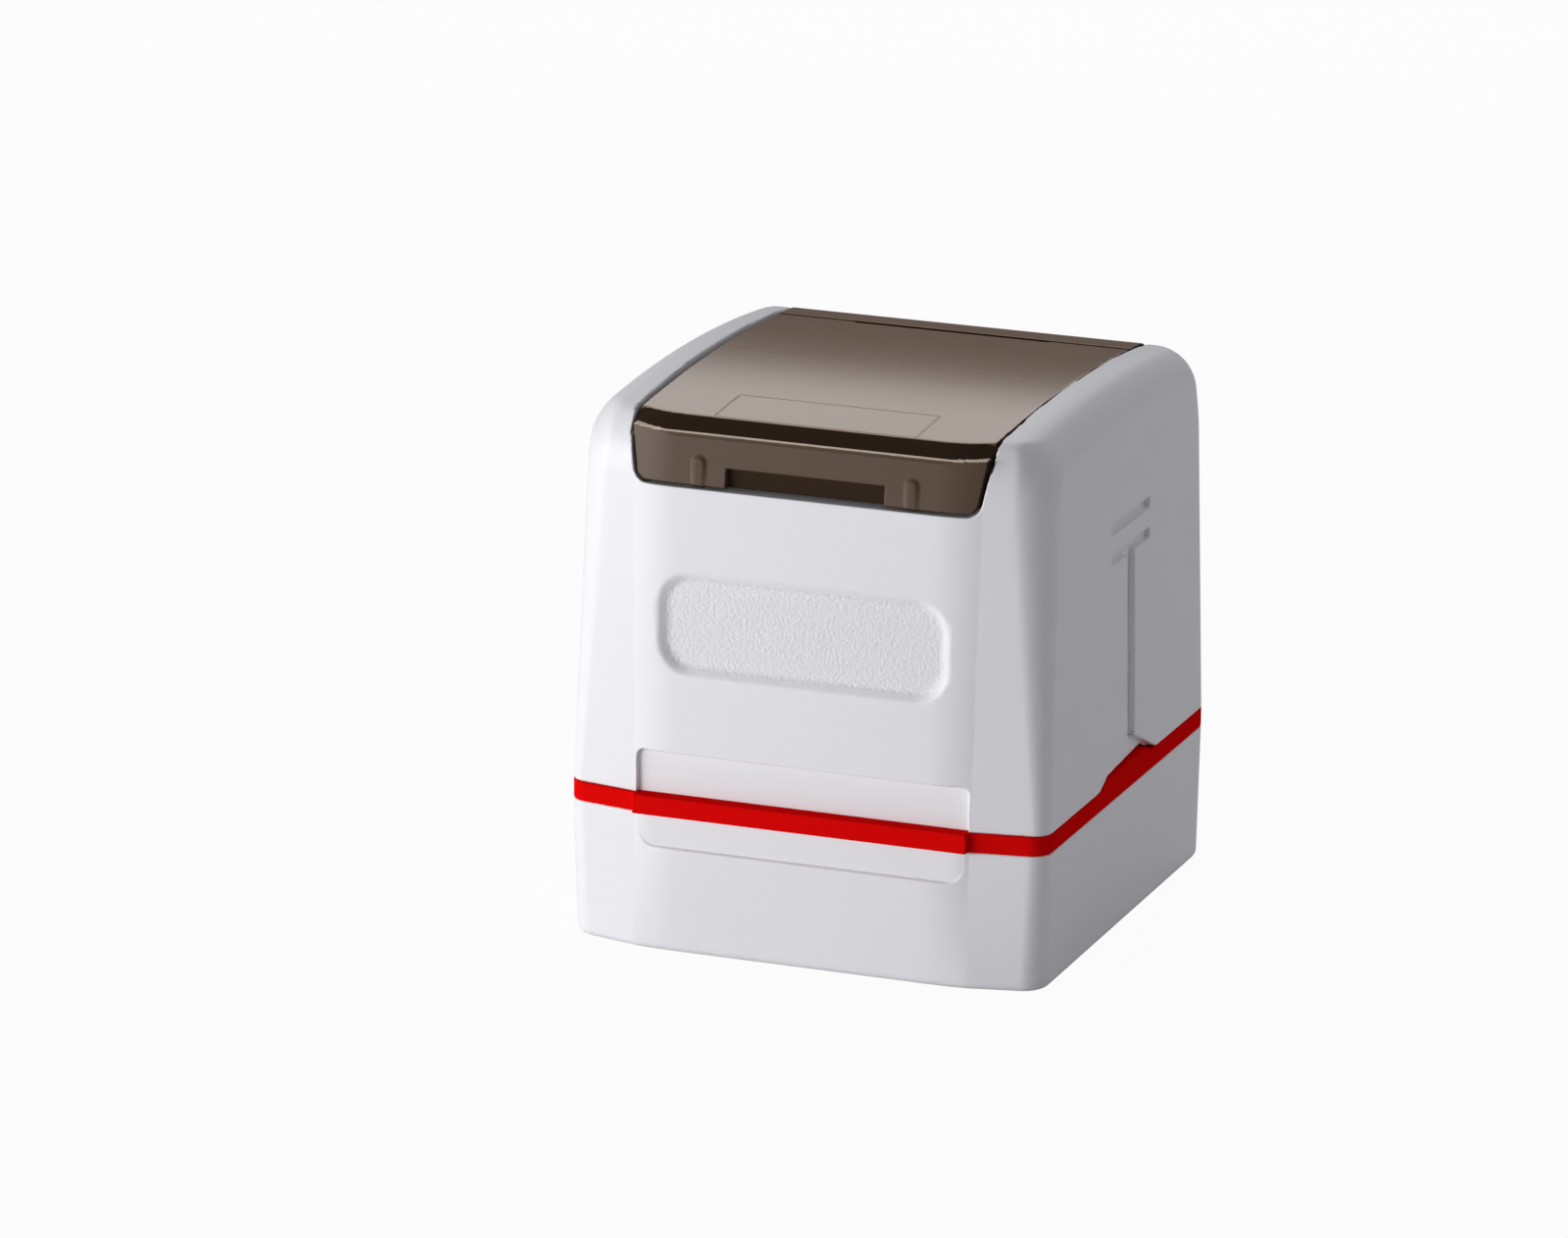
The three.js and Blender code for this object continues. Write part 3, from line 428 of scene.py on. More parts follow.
def front_bend(z):
    """How far the shell's front bends back near its top, with its lean."""
    share = np.clip((z - TOP_Z + BEND_HEIGHT) / BEND_HEIGHT, 0, BEND_LIMIT)
    root = np.sqrt(1 - share**2)
    return BEND_DEPTH * (1 - root), BEND_DEPTH / BEND_HEIGHT * share / root


def shell_outer(x, y, z):
    share = height_share(z)
    bend, lean = front_bend(z)
    across = np.abs(x)
    side = shell_side(z)
    slope = (SHELL_CORNER_SETBACK - SHELL_INSET - SHELL_MARGIN) / (side - crease(z))
    back, along = front_profile(across - crease(z) + MARGIN_WIDTH, SHELL_MARGIN, slope)
    front = (front_face(z) + bend + back - y) / np.sqrt(1 + along**2 + lean**2)
    top = arch(y, z)
    shoulder = both(across - side, top, SHOULDER_RADIUS)
    rear_turn = smooth(TOP_Z - REAR_TURN_START, TOP_Z - REAR_TURN_END, z)
    rear_radius = mix(REAR_RADIUS, REAR_TOP_RADIUS, rear_turn)
    body = both(shoulder, y - REAR_Y + SHELL_REAR_DRAFT * share, rear_radius)
    turn = smooth(-SHOULDER_RADIUS, SHOULDER_RADIUS / 3, across - side - top)
    radius = mix(FRONT_TOP_RADIUS, mix(SHELL_RADIUS_LOW, SHELL_RADIUS_HIGH, share), turn)
    return both(body, front, radius)


def lid_opening(x, y, z):
    """Room for the lid's lip and top, and for its barrel and rear edge as it swings."""
    across = np.abs(x)
    lip_room = np.maximum(lid_flat(x, y, z, FIT_GAP), y - UPSTAND_Y)
    over = np.maximum(across - lid_half(y) - FIT_GAP, y - HINGE_Y)
    over = np.maximum(over, UPSTAND_TOP_Z - z)
    barrel_side = across - LID_HALF - FIT_GAP
    barrel_room = np.maximum(np.hypot(y - HINGE_Y, z - HINGE_Z) - CRADLE_RADIUS, barrel_side)
    reach_y = slab(y, HINGE_Y - CRADLE_RADIUS - SWING_FRONT, HINGE_Y + CRADLE_RADIUS + SWING_REAR)
    swing_lean = SWING_REAR / BARREL_RADIUS
    lean = (y - HINGE_Y - CRADLE_RADIUS - (z - HINGE_Z) * swing_lean) / math.hypot(1, swing_lean)
    swing = np.maximum(np.maximum(np.maximum(reach_y, HINGE_Z - z), lean), barrel_side)
    return np.minimum(np.minimum(lip_room, over), np.minimum(barrel_room, swing))


def shell_cavity(x, y, z):
    """The hollow, the window over the core, the step for the ring's lip and the bearings."""
    across = np.abs(x)
    front = FRONT_Y + SHELL_INSET + SHELL_FRONT_WALL
    rear = REAR_Y - SHELL_WALL
    hollow = rounded_flat(x, y - (front + rear) / 2, SIDE_X - SHELL_WALL, (rear - front) / 2, CAVITY_RADIUS)
    hollow = np.maximum(hollow, z - CAVITY_TOP_Z)
    window = slab(y, UPSTAND_Y + UPSTAND_THICK, HINGE_Y - CRADLE_RADIUS)
    window = np.maximum(window, CAVITY_TOP_Z - WINDOW_DROP - z)
    window = np.maximum(window, across - lid_half(y) - FIT_GAP)
    step = works_block(x, y, SIDE_X - SKIRT_HALF - 2 * FIT_GAP - RING_LIP_THICK, RING_ROOM_RADIUS)
    step = np.maximum(step, z - BAND_TOP - RING_LIP_HEIGHT - FIT_GAP)
    step = np.maximum(step, TAB_BOTTOM_HALF - np.abs(y - TAB_MIDDLE_Y))
    bearing = np.maximum(
        np.hypot(y - HINGE_Y, z - HINGE_Z) - TRUNNION_RADIUS - BEARING_GAP,
        across - LID_HALF - TRUNNION_LENGTH - BEARING_DEPTH)
    return np.minimum(np.minimum(hollow, window), np.minimum(step, bearing))


def upstand(x, y, z):
    """The wall behind the lid's lip."""
    wall = np.maximum(np.abs(x) - LID_HALF + LID_TAPER, slab(y, UPSTAND_Y, UPSTAND_Y + UPSTAND_THICK))
    return np.maximum(wall, slab(z, UPSTAND_LOW_Z, UPSTAND_TOP_Z))


def front_recess(x, y, z):
    recess = rounded_flat(x, z - BAND_TOP, RECESS_HALF, RECESS_HEIGHT, RECESS_RADIUS)
    return both(recess, y - FRONT_Y - RECESS_DEPTH, RECESS_ROUND)


def plate_outline(x, z):
    return rounded_flat(x, z - PLATE_Z, PLATE_HALF, PLATE_HEIGHT / 2, PLATE_RADIUS)


def scoop(x, y, z):
    """A thumb scoop over the tab, flush at its front flank and deepest at its rear wall."""
    rise = z - BAND_TOP - TAB_HEIGHT
    reach = np.hypot(SCOOP_TIP, y - TAB_MIDDLE_Y) - SCOOP_TIP
    outline = (rise - SCOOP_HEIGHT + SCOOP_SLOPE * reach) / math.hypot(1, SCOOP_SLOPE)
    flank = TAB_MIDDLE_Y - GROOVE_WIDTH / 2 - (SCOOP_HEIGHT - rise) / SCOOP_SLOPE
    fall = SCOOP_FALL * (y - flank) + SCOOP_TILT * np.maximum(rise, 0)
    hollow = both(outline, shell_side(z) - fall - np.abs(x), SCOOP_ROUND)
    return both(hollow, BAND_TOP - z, SCOOP_ROUND)


def side_marks(x, y, z):
    """Two slots and the groove under them, the same on both sides."""
    depth = shell_side(z) - np.abs(x)
    along = y - SIDE_MIDDLE_Y
    slots = np.minimum(
        rounded_flat(along, z - UPPER_SLOT_Z, SLOT_HALF, SLOT_HEIGHT / 2, SLOT_RADIUS),
        rounded_flat(along, z - LOWER_SLOT_Z, SLOT_HALF, SLOT_HEIGHT / 2, SLOT_RADIUS))
    groove_low_z = BAND_TOP + TAB_HEIGHT + SCOOP_HEIGHT - SCOOP_OVERLAP
    groove = np.maximum(np.abs(along) - GROOVE_WIDTH / 2, slab(z, groove_low_z, LOWER_SLOT_Z))
    return np.minimum(
        both(slots, depth - SLOT_DEPTH, MARK_ROUND), both(groove, depth - GROOVE_DEPTH, MARK_ROUND))


def tab_notch(x, y, z):
    notch_face = shell_side(BAND_TOP + TAB_HEIGHT) - TAB_THICK - TAB_REAR_GAP
    return np.maximum(tab_outline(y, z, TAB_GAP), notch_face - np.abs(x))


def shell_field(x, y, z):
    shell = both(shell_outer(x, y, z), BAND_TOP - z)
    shell = less(shell, lid_opening(x, y, z), OPENING_EDGE)
    shell = less(shell, shell_cavity(x, y, z), CAVITY_EDGE)
    shell = either(shell, upstand(x, y, z), UPSTAND_ROOT)
    shell = less(shell, front_recess(x, y, z), RECESS_EDGE)
    shell = less(shell, both(plate_outline(x, z), y - PLATE_FACE - PLATE_DEPTH, PLATE_ROUND), PLATE_EDGE)
    shell = less(shell, scoop(x, y, z), SCOOP_EDGE)
    shell = less(shell, side_marks(x, y, z), MARK_EDGE)
    return less(shell, tab_notch(x, y, z), TAB_NOTCH_EDGE)


def shell_zones(x, y, z):
    """1 on the sandy floor of the name plate."""
    floor = (y > PLATE_FACE + PLATE_DEPTH / 2) & (y < PLATE_FACE + 2 * PLATE_DEPTH)
    return (plate_outline(x, z) < -PLATE_RIM) & floor


# Window lid


def margin_fall(x, z):
    return front_profile(np.abs(x) - crease(z) + MARGIN_WIDTH, SHELL_MARGIN, math.tan(MARGIN_ANGLE))


def lip_rise(x, z):
    """Height over the top edge of the lid's lip, which bows up towards its ends."""
    return z - LIP_TOP_Z - LIP_TOP_BOW * margin_fall(x, z)[0]


def lid_front(x, y, z, inset=0.0):
    """The lid's front: a lip, a narrow ledge on it and a steep bevel behind the ledge."""
    back, along = margin_fall(x, z)
    face = front_face(z) + LIP_SLANT + back + inset
    rise = lip_rise(x, z)
    lip_lean = LIP_SLANT / (LIP_TOP_Z - LID_LOW_Z)
    lip = (face + lip_lean * rise - y) / np.sqrt(1 + along**2 + lip_lean**2)
    bevel_lean = BEVEL_RUN / BEVEL_RISE
    bevel_face = face + LIP_LEDGE + BEVEL_FALL * back + bevel_lean * rise
    bevel = (bevel_face - y) / np.sqrt(1 + along**2 + bevel_lean**2)
    return np.minimum(both(lip, rise, LIP_ROUND), both(bevel, -rise - BEVEL_START, BEVEL_ROUND))


def lid_top(y, z):
    """The lid's arch, a little flatter than the cheeks beside it."""
    middle = (FRONT_Y + HINGE_Y) / 2
    sink = LID_SINK * np.maximum(1 - ((y - middle) / (HINGE_Y - middle)) ** 2, 0)
    return arch(y, z) + sink


def lid_lines(x, y, z):
    """The groove across the lid and the label's faint outline."""
    groove_y = HINGE_Y - LID_GROOVE_SETBACK
    groove_front = groove_y - LID_GROOVE_WIDTH / 2 - GROOVE_STEP * (np.abs(x) < GROOVE_STEP_X)
    groove = slab(y, groove_front, groove_y + LID_GROOVE_WIDTH / 2)
    groove = np.maximum(groove, arch_top(groove_y) - LID_GROOVE_DEPTH - z)
    middle = (LABEL_MARK_LOW_Y + LABEL_MARK_HIGH_Y) / 2
    mark = rounded_flat(x, y - middle, LABEL_MARK_HALF, LABEL_MARK_HIGH_Y - middle, LABEL_MARK_RADIUS)
    mark = np.maximum(np.abs(mark) - LABEL_MARK_WIDTH / 2, -LABEL_MARK_DEPTH - lid_top(y, z))
    return np.minimum(groove, mark)


def lid_field(x, y, z):
    across = np.abs(x)
    top = lid_top(y, z)
    outer = both(top, lid_front(x, y, z), LID_FRONT_ROUND)
    outer = both(outer, lid_flat(x, y, z), LID_SIDE_ROUND)
    outer = np.maximum(outer, y - HINGE_Y)
    inner = both(top + LID_THICK, lid_front(x, y, z, LIP_THICK), LID_INNER_ROUND)
    rod = np.hypot(y - HINGE_Y, z - HINGE_Z)
    barrel = both(rod - BARREL_RADIUS, across - LID_HALF, BARREL_ROUND)
    sheet = less(np.minimum(less(outer, inner), barrel), lid_lines(x, y, z), LID_GROOVE_EDGE)
    notch = np.maximum(across - NOTCH_HALF, z - LID_LOW_Z - NOTCH_HEIGHT)
    sheet = less(sheet, np.maximum(notch, y - LID_FACE - NOTCH_DEPTH), NOTCH_EDGE)
    rib = rounded_flat(across - RIB_X, z - LID_LOW_Z, RIB_WIDTH / 2, RIB_HEIGHT, RIB_RADIUS)
    rib = both(rib, slab(y, LID_FACE - RIB_PROUD, LID_FACE + LIP_THICK / 2), RIB_ROUND)
    rib = np.maximum(rib, LID_LOW_Z - z)
    trunnion = both(rod - TRUNNION_RADIUS, across - LID_HALF - TRUNNION_LENGTH, TRUNNION_ROUND)
    return np.minimum(either(sheet, rib, RIB_ROOT), trunnion)


def lid_painted_zones(x, y, z):
    """1 for painted shade on the bevel, groove and edges, 2 for a darker shaded copy of the plastic on the
    lip, 3 for painted shade in its notch, 4 for a painted highlight along its top edge.
    """
    front = y < UPSTAND_Y
    rise = lip_rise(x, z)
    top = lid_top(y, z)
    # Painted shade on the steep bevel and in the groove across the lid
    bevel = front & (rise > BEVEL_SHADE_START) & (top < -BEVEL_SKIN)
    groove = (np.abs(y - HINGE_Y + LID_GROOVE_SETBACK) < LID_GROOVE_WIDTH) & (top < -GROOVE_SKIN)
    zone = np.where(bevel | groove, 1, 0)
    # A darker shaded copy of the plastic on the lip's face, then a painted highlight along its top edge
    zone = np.where(front & (rise <= LIP_HIGHLIGHT_HALF), 2, zone)
    zone = np.where(front & (np.abs(rise) < LIP_HIGHLIGHT_HALF), 4, zone)
    # Painted shade in the lip's notch
    notch = (np.abs(x) < NOTCH_HALF) & (z < LID_LOW_Z + NOTCH_HEIGHT) & (y > LID_FACE + NOTCH_DEPTH / 2)
    zone = np.where(front & notch, 3, zone)
    # Painted shade in a thin band along the lid's outline
    return np.where(lid_flat(x, y, z) > -EDGE_SHADE_WIDTH, 1, zone)


# Meshes from fields

FINE = 1.0
OVERRUN = 0.6
TICK_GROWTH = 0.3
CORNERS = [(i, j, k) for i in (0, 1) for j in (0, 1) for k in (0, 1)]
CELL_EDGES = [
    (a, b) for a in range(8) for b in range(a + 1, 8)
    if sum(abs(p - q) for p, q in zip(CORNERS[a], CORNERS[b])) == 1]
SETTLE_ROUNDS = 4
SETTLE_STEP = 0.004
LEAST_SLOPE = 0.2
NORMAL_STEP = 0.02
TINY = 1e-9


def ticks(low, high, coarse, marks):
    """Places from low to high and past both, closer in each marked stretch (start, end, step)."""
    places = [low - OVERRUN]
    while places[-1] < high + OVERRUN:
        here = places[-1]
        step = coarse
        for start, end, close in marks:
            away = max(start - here, here - end, 0)
            step = min(step, close * FINE + TICK_GROWTH * away)
        places.append(here + step)
    return np.array(places)


def mirrored(marks):
    return marks + [(-end, -start, step) for start, end, step in marks]


def slope_of(field, points, step):
    columns = []
    for axis in range(3):
        ahead, behind = points.copy(), points.copy()
        ahead[:, axis] += step
        behind[:, axis] -= step
        columns.append((field(*ahead.T) - field(*behind.T)) / (2 * step))
    return np.stack(columns, 1)


def cell_points(field, axes, values, cells):
    """The middle of each cell's crossings, settled onto the surface inside the cell."""
    places, levels = [], []
    for corner in CORNERS:
        index = cells + np.array(corner)
        places.append(np.stack([axes[n][index[:, n]] for n in range(3)], 1))
        levels.append(values[tuple(index.T)])
    total = np.zeros((len(cells), 3))
    crossings = np.zeros((len(cells), 1))
    for a, b in CELL_EDGES:
        crossed = ((levels[a] < 0) != (levels[b] < 0))[:, None]
        gap = (levels[a] - levels[b])[:, None]
        share = levels[a][:, None] / np.where(gap == 0, 1, gap)
        total += np.where(crossed, places[a] + share * (places[b] - places[a]), 0)
        crossings += crossed
    points = total / crossings
    for _ in range(SETTLE_ROUNDS):
        level = field(*points.T)[:, None]
        slope = slope_of(field, points, SETTLE_STEP)
        size = np.maximum((slope**2).sum(1, keepdims=True), LEAST_SLOPE)
        points = np.clip(points - level * slope / size, places[0], places[-1])
    return points


def cell_quads(inside, number):
    """A quad round each grid edge that the surface crosses, facing outward."""
    quads = []
    for axis in range(3):
        u, v = [n for n in range(3) if n != axis]
        first = [slice(1, -1)] * 3
        second = [slice(1, -1)] * 3
        first[axis], second[axis] = slice(0, -1), slice(1, None)
        starts = inside[tuple(first)]
        changed = starts != inside[tuple(second)]
        spots = np.argwhere(changed)
        spots[:, [u, v]] += 1
        outward = starts[changed]
        around = []
        for du, dv in ((-1, -1), (0, -1), (0, 0), (-1, 0)):
            index = spots.copy()
            index[:, u] += du
            index[:, v] += dv
            around.append(number[tuple(index.T)])
        quad = np.stack(around, 1)
        turned = outward if axis != 1 else ~outward
        quad[~turned] = quad[~turned][:, ::-1]
        quads.append(quad)
    return np.concatenate(quads)


def surface(field, axes):
    """Points and quads of the field's zero surface, one point in each cell that it crosses."""
    xs, ys, zs = axes
    values = field(xs[:, None, None], ys[None, :, None], zs[None, None, :])
    values = np.broadcast_to(values, (len(xs), len(ys), len(zs)))
    inside = values < 0
    shape = tuple(n - 1 for n in inside.shape)
    count = np.zeros(shape, np.int8)
    for i, j, k in CORNERS:
        count += inside[i : i + shape[0], j : j + shape[1], k : k + shape[2]]
    cells = np.argwhere((count > 0) & (count < 8))
    number = np.full(shape, -1, np.int64)
    number[tuple(cells.T)] = np.arange(len(cells))
    return cell_points(field, axes, values, cells), cell_quads(inside, number)


def add_object(name, data):
    made = bpy.data.objects.new(name, data)
    bpy.context.scene.collection.objects.link(made)
    return made


def make_piece(name, field, axes, node, body, zones=None):
    """A smooth piece; zones gives the number of the material at a place."""
    points, quads = surface(field, axes)
    slope = slope_of(field, points, NORMAL_STEP)
    normals = slope / np.maximum(np.linalg.norm(slope, axis=1, keepdims=True), TINY)
    mesh = bpy.data.meshes.new(name)
    mesh.vertices.add(len(points))
    mesh.vertices.foreach_set("co", (points * MM).astype(np.float32).ravel())
    mesh.loops.add(4 * len(quads))
    mesh.loops.foreach_set("vertex_index", quads.astype(np.int32).ravel())
    mesh.polygons.add(len(quads))
    mesh.polygons.foreach_set("loop_start", np.arange(0, 4 * len(quads), 4, dtype=np.int32))
    if zones:
        mesh.polygons.foreach_set("material_index", zones(*points[quads].mean(1).T).astype(np.int32))
    mesh.update(calc_edges=True)
    mesh.validate()
    mesh.shade_smooth()
    mesh.normals_split_custom_set_from_vertices(normals.astype(np.float32))
    piece = add_object(name, mesh)
    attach(piece, body)
    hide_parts(node)
    return piece


# Pieces, each with the places of its grid along X, Y and Z, close where it has small forms

shell_grid = (
    ticks(-SIDE_X, SIDE_X, 1.1, mirrored([
        (17.0, 19.4, 0.16), (19.4, 23.4, 0.7), (23.4, 25.2, 0.2), (11.4, 15.2, 0.5)])),
    ticks(FRONT_Y, REAR_Y, 1.3, [
        (-26.2, -24.2, 0.13), (-24.2, -18.5, 0.5), (-18.5, -8, 0.75), (-8, 8, 0.7), (-5, -4, 0.2),
        (-0.5, 2.5, 0.2), (6, 7.2, 0.2), (17, 26.2, 0.75)]),
    ticks(BAND_TOP, TOP_Z, 1.5, [
        (15.6, 17.0, 0.18), (17, 20.5, 0.32), (28.3, 30.6, 0.3), (36.2, 37.9, 0.3),
        (37.9, 39.5, 0.18), (41, 42.6, 0.18), (47, 48.4, 0.2), (48.4, 55.3, 0.6)]),
)
cap_grid = (
    ticks(-SIDE_X, SIDE_X, 0.9, mirrored([(15, 17.4, 0.14), (17.4, 25.2, 0.4)])),
    ticks(FRONT_Y, REAR_Y, 1.2, [(-26.2, -25.2, 0.1), (-25.2, -21, 0.3), (21, 26.2, 0.35)]),
    ticks(0, CAP_TOP, 0.8, [(-0.1, 1.2, 0.16), (10.1, 12.4, 0.16), (13.2, 13.9, 0.1)]),
)
ring_grid = (
    ticks(-SIDE_X, SIDE_X, 0.9, mirrored([(17.4, 25.2, 0.3)])),
    ticks(FRONT_Y, REAR_Y, 0.8, [
        (-26.2, -25.8, 0.1), (-25.8, -21, 0.3), (-9, 11, 0.5), (21, 26.2, 0.35)]),
    ticks(CAP_TOP, BAND_TOP + RING_LIP_HEIGHT, 0.5, [(13.5, 18.6, 0.1)]),
)
lid_grid = (
    ticks(-LID_HALF - TRUNNION_LENGTH, LID_HALF + TRUNNION_LENGTH, 0.8, mirrored([
        (7.8, 8.6, 0.1), (9.8, 12.2, 0.16), (10.3, 10.5, 0.06), (17, 19.2, 0.14)])),
    ticks(lid_low[1], lid_high[1], 0.9, [
        (lid_low[1] - 0.2, -23.2, 0.11), (-22.3, -22.1, 0.06), (-15.5, -15.3, 0.06),
        (HINGE_Y - 4.4, HINGE_Y + 2.6, 0.2), (HINGE_Y - 4.2, HINGE_Y - 3.0, 0.08)]),
    ticks(LID_LOW_Z, TOP_Z, 0.5, [
        (47.5, 48.1, 0.1), (49.3, 50.8, 0.12), (51.8, 52.6, 0.14), (52.6, 54.3, 0.09), (54.3, 55.4, 0.14)]),
)
shell = make_piece(
    "shell_skin", shell_field, shell_grid, "handle_shell", "handle", shell_zones)
cap = make_piece("cap_skin", cap_field, cap_grid, "dust_cap", "cap")
ring = make_piece("ring_skin", ring_field, ring_grid, "retaining_ring", "handle")
lid = make_piece("lid_skin", lid_field, lid_grid, "window_lid", "lid", lid_painted_zones)

# Return springs, wire coils that move whole with the handle without shortening

SPRING_NODES = [f"return_spring_{number}" for number in (1, 2, 3, 4)]
SPRING_WIRE = 0.7
SPRING_TURNS = 9
SPRING_STEPS = 40
SPRING_SIDES = 10


def make_spring(node):
    low, high = millimetre_box(node)
    middle = [(low[n] + high[n]) / 2 for n in (0, 1)]
    wire = SPRING_WIRE / 2
    reach = (high[0] - low[0]) / 2 - wire
    turn = np.arange(SPRING_TURNS * SPRING_STEPS + 1)[:, None] * 2 * math.pi / SPRING_STEPS
    around = np.arange(SPRING_SIDES)[None, :] * 2 * math.pi / SPRING_SIDES
    out = reach + wire * np.cos(around)
    rise = low[2] + wire + (high[2] - low[2] - SPRING_WIRE) * turn / turn[-1]
    points = np.stack(
        [middle[0] + out * np.cos(turn), middle[1] + out * np.sin(turn), rise + wire * np.sin(around)], -1)
    points = points.reshape(-1, 3) * MM
    faces = [tuple(range(SPRING_SIDES))[::-1], tuple(range(len(points) - SPRING_SIDES, len(points)))]
    for i in range(0, len(points) - SPRING_SIDES, SPRING_SIDES):
        for j in range(SPRING_SIDES):
            k = (j + 1) % SPRING_SIDES
            faces.append((i + j, i + k, i + SPRING_SIDES + k, i + SPRING_SIDES + j))
    mesh = bpy.data.meshes.new(node + "_wire")
    mesh.from_pydata(points.tolist(), [], faces)
    mesh.shade_smooth()
    spring = add_object(node + "_wire", mesh)
    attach(spring, "handle")
    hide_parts(node)
    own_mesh(spring)
    return spring


springs = [make_spring(node) for node in SPRING_NODES]

# Materials

CLOUD_SCALE = 60
CLOUD_DETAIL = 3
GRAIN_DETAIL = 2
TINT_SPREAD = 0.02
ROUGHNESS_SPREAD = 0.1
SHINE = 0.5
GRAIN_DEPTH = 0.00005
SANDY_DEPTH = 0.00012


def material(
        name, color, roughness, bump, bump_scale, specular=SHINE, metallic=0.0, depth=GRAIN_DEPTH,
        gloss_color=(1, 1, 1)):
    """A plain finish with a cloudy tint and roughness and a fine grain."""
    made = bpy.data.materials.new(name)
    made.use_nodes = True
    tree = made.node_tree
    shader = tree.nodes["Principled BSDF"]
    place = tree.nodes.new("ShaderNodeTexCoord")
    cloud = tree.nodes.new("ShaderNodeTexNoise")
    cloud.inputs["Scale"].default_value = CLOUD_SCALE
    cloud.inputs["Detail"].default_value = CLOUD_DETAIL
    tree.links.new(place.outputs["Object"], cloud.inputs["Vector"])
    tint = tree.nodes.new("ShaderNodeMixRGB")
    tint.inputs["Color1"].default_value = (*[c * (1 - TINT_SPREAD) for c in color], 1)
    tint.inputs["Color2"].default_value = (*[min(1, c * (1 + TINT_SPREAD)) for c in color], 1)
    tree.links.new(cloud.outputs["Fac"], tint.inputs["Fac"])
    tree.links.new(tint.outputs["Color"], shader.inputs["Base Color"])
    wear = tree.nodes.new("ShaderNodeMapRange")
    wear.inputs["To Min"].default_value = roughness * (1 - ROUGHNESS_SPREAD)
    wear.inputs["To Max"].default_value = roughness * (1 + ROUGHNESS_SPREAD)
    tree.links.new(cloud.outputs["Fac"], wear.inputs["Value"])
    tree.links.new(wear.outputs["Result"], shader.inputs["Roughness"])
    shader.inputs["Metallic"].default_value = metallic
    shader.inputs["Specular IOR Level"].default_value = specular
    shader.inputs["Specular Tint"].default_value = (*gloss_color, 1)
    grain = tree.nodes.new("ShaderNodeTexNoise")
    grain.inputs["Scale"].default_value = bump_scale
    grain.inputs["Detail"].default_value = GRAIN_DETAIL
    tree.links.new(place.outputs["Object"], grain.inputs["Vector"])
    lift = tree.nodes.new("ShaderNodeBump")
    lift.inputs["Strength"].default_value = bump
    lift.inputs["Distance"].default_value = depth
    tree.links.new(grain.outputs["Fac"], lift.inputs["Height"])
    tree.links.new(lift.outputs["Normal"], shader.inputs["Normal"])
    return made


# Each with its colour, roughness, grain and grain scale
white = material("white plastic", (0.86, 0.86, 0.89), 0.42, 0.15, 2500, specular=0.4)
sandy = material("white plastic, sandy", (0.82, 0.82, 0.85), 0.6, 0.9, 3200, depth=SANDY_DEPTH)
red = material("red plastic", (0.74, 0.003, 0.003), 0.45, 0.1, 2500, specular=0.0)
smoked = material("smoked plastic", (0.2, 0.095, 0.026), 0.19, 0.02, 800, gloss_color=(1, 0.8, 0.7))
# Painted shade: a near-black copy of the smoked plastic for the lid's bevel, groove and outline
smoked_painted_shade = material("smoked plastic, painted shade", (0.034, 0.02, 0.012), 0.4, 0.02, 800, specular=0.02)
# Painted shade: a darker, greyer copy of the smoked plastic on the lip's face
smoked_lip_shaded = material("smoked plastic, lip, painted shade", (0.112, 0.074, 0.051), 0.35, 0.05, 800, specular=0.12)
# Painted shade: a near-black copy of the smoked plastic in the lip's notch
smoked_notch_shade = material("smoked plastic, notch, painted shade", (0.036, 0.021, 0.012), 0.5, 0.05, 800, specular=0.03)
# Painted highlight: a cream strip along the lip's top edge
smoked_painted_highlight = material("smoked plastic, painted highlight", (0.78, 0.64, 0.5), 0.3, 0.05, 800)
grey = material("grey plastic", (0.5, 0.51, 0.53), 0.45, 0.2, 2500)
dark = material("dark plastic", (0.03, 0.03, 0.033), 0.4, 0.2, 2500)
card = material("label card", (0.85, 0.84, 0.8), 0.8, 0.3, 4000)
ink = material("ink foam", (0.03, 0.03, 0.05), 0.9, 0.8, 6000)
pores = material("die foam", (0.6, 0.42, 0.34), 0.7, 0.6, 6000)
steel = material("steel", (0.6, 0.61, 0.63), 0.25, 0.1, 3000, metallic=1.0)

# In the order of the zones' numbers
PIECE_FINISHES = (
    (shell, (white, sandy)),
    (cap, (white,)),
    (ring, (red,)),
    (lid, (smoked, smoked_painted_shade, smoked_lip_shaded, smoked_notch_shade, smoked_painted_highlight)),
    *[(spring, (steel,)) for spring in springs],
)
for piece, finishes in PIECE_FINISHES:
    for finish in finishes:
        piece.data.materials.append(finish)

NODE_FINISHES = {
    "mount_core": grey,
    "index_label": card,
    "die_holder": dark,
    "ink_pad": ink,
    "stamp_die": pores,
    "die_clamp": dark,
    "skirt_frame": grey,
}
for name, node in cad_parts.items():
    finish = NODE_FINISHES.get(name)
    if name.startswith(("core_screw", "holder_screw")):
        finish = steel
    if finish:
        node.data.materials.clear()
        node.data.materials.append(finish)

# Camera at the photograph's place

PHOTO_WIDTH = 1600
FOCAL_PIXELS = 9000
AZIMUTH = math.radians(21.089)
ELEVATION = math.radians(16.434)
ROLL = math.radians(0.413)
CAMERA_PLACE = (293.105, -790.113, 277.219)
SENSOR_WIDTH = 36
CLIP_NEAR = 0.05
CLIP_FAR = 20

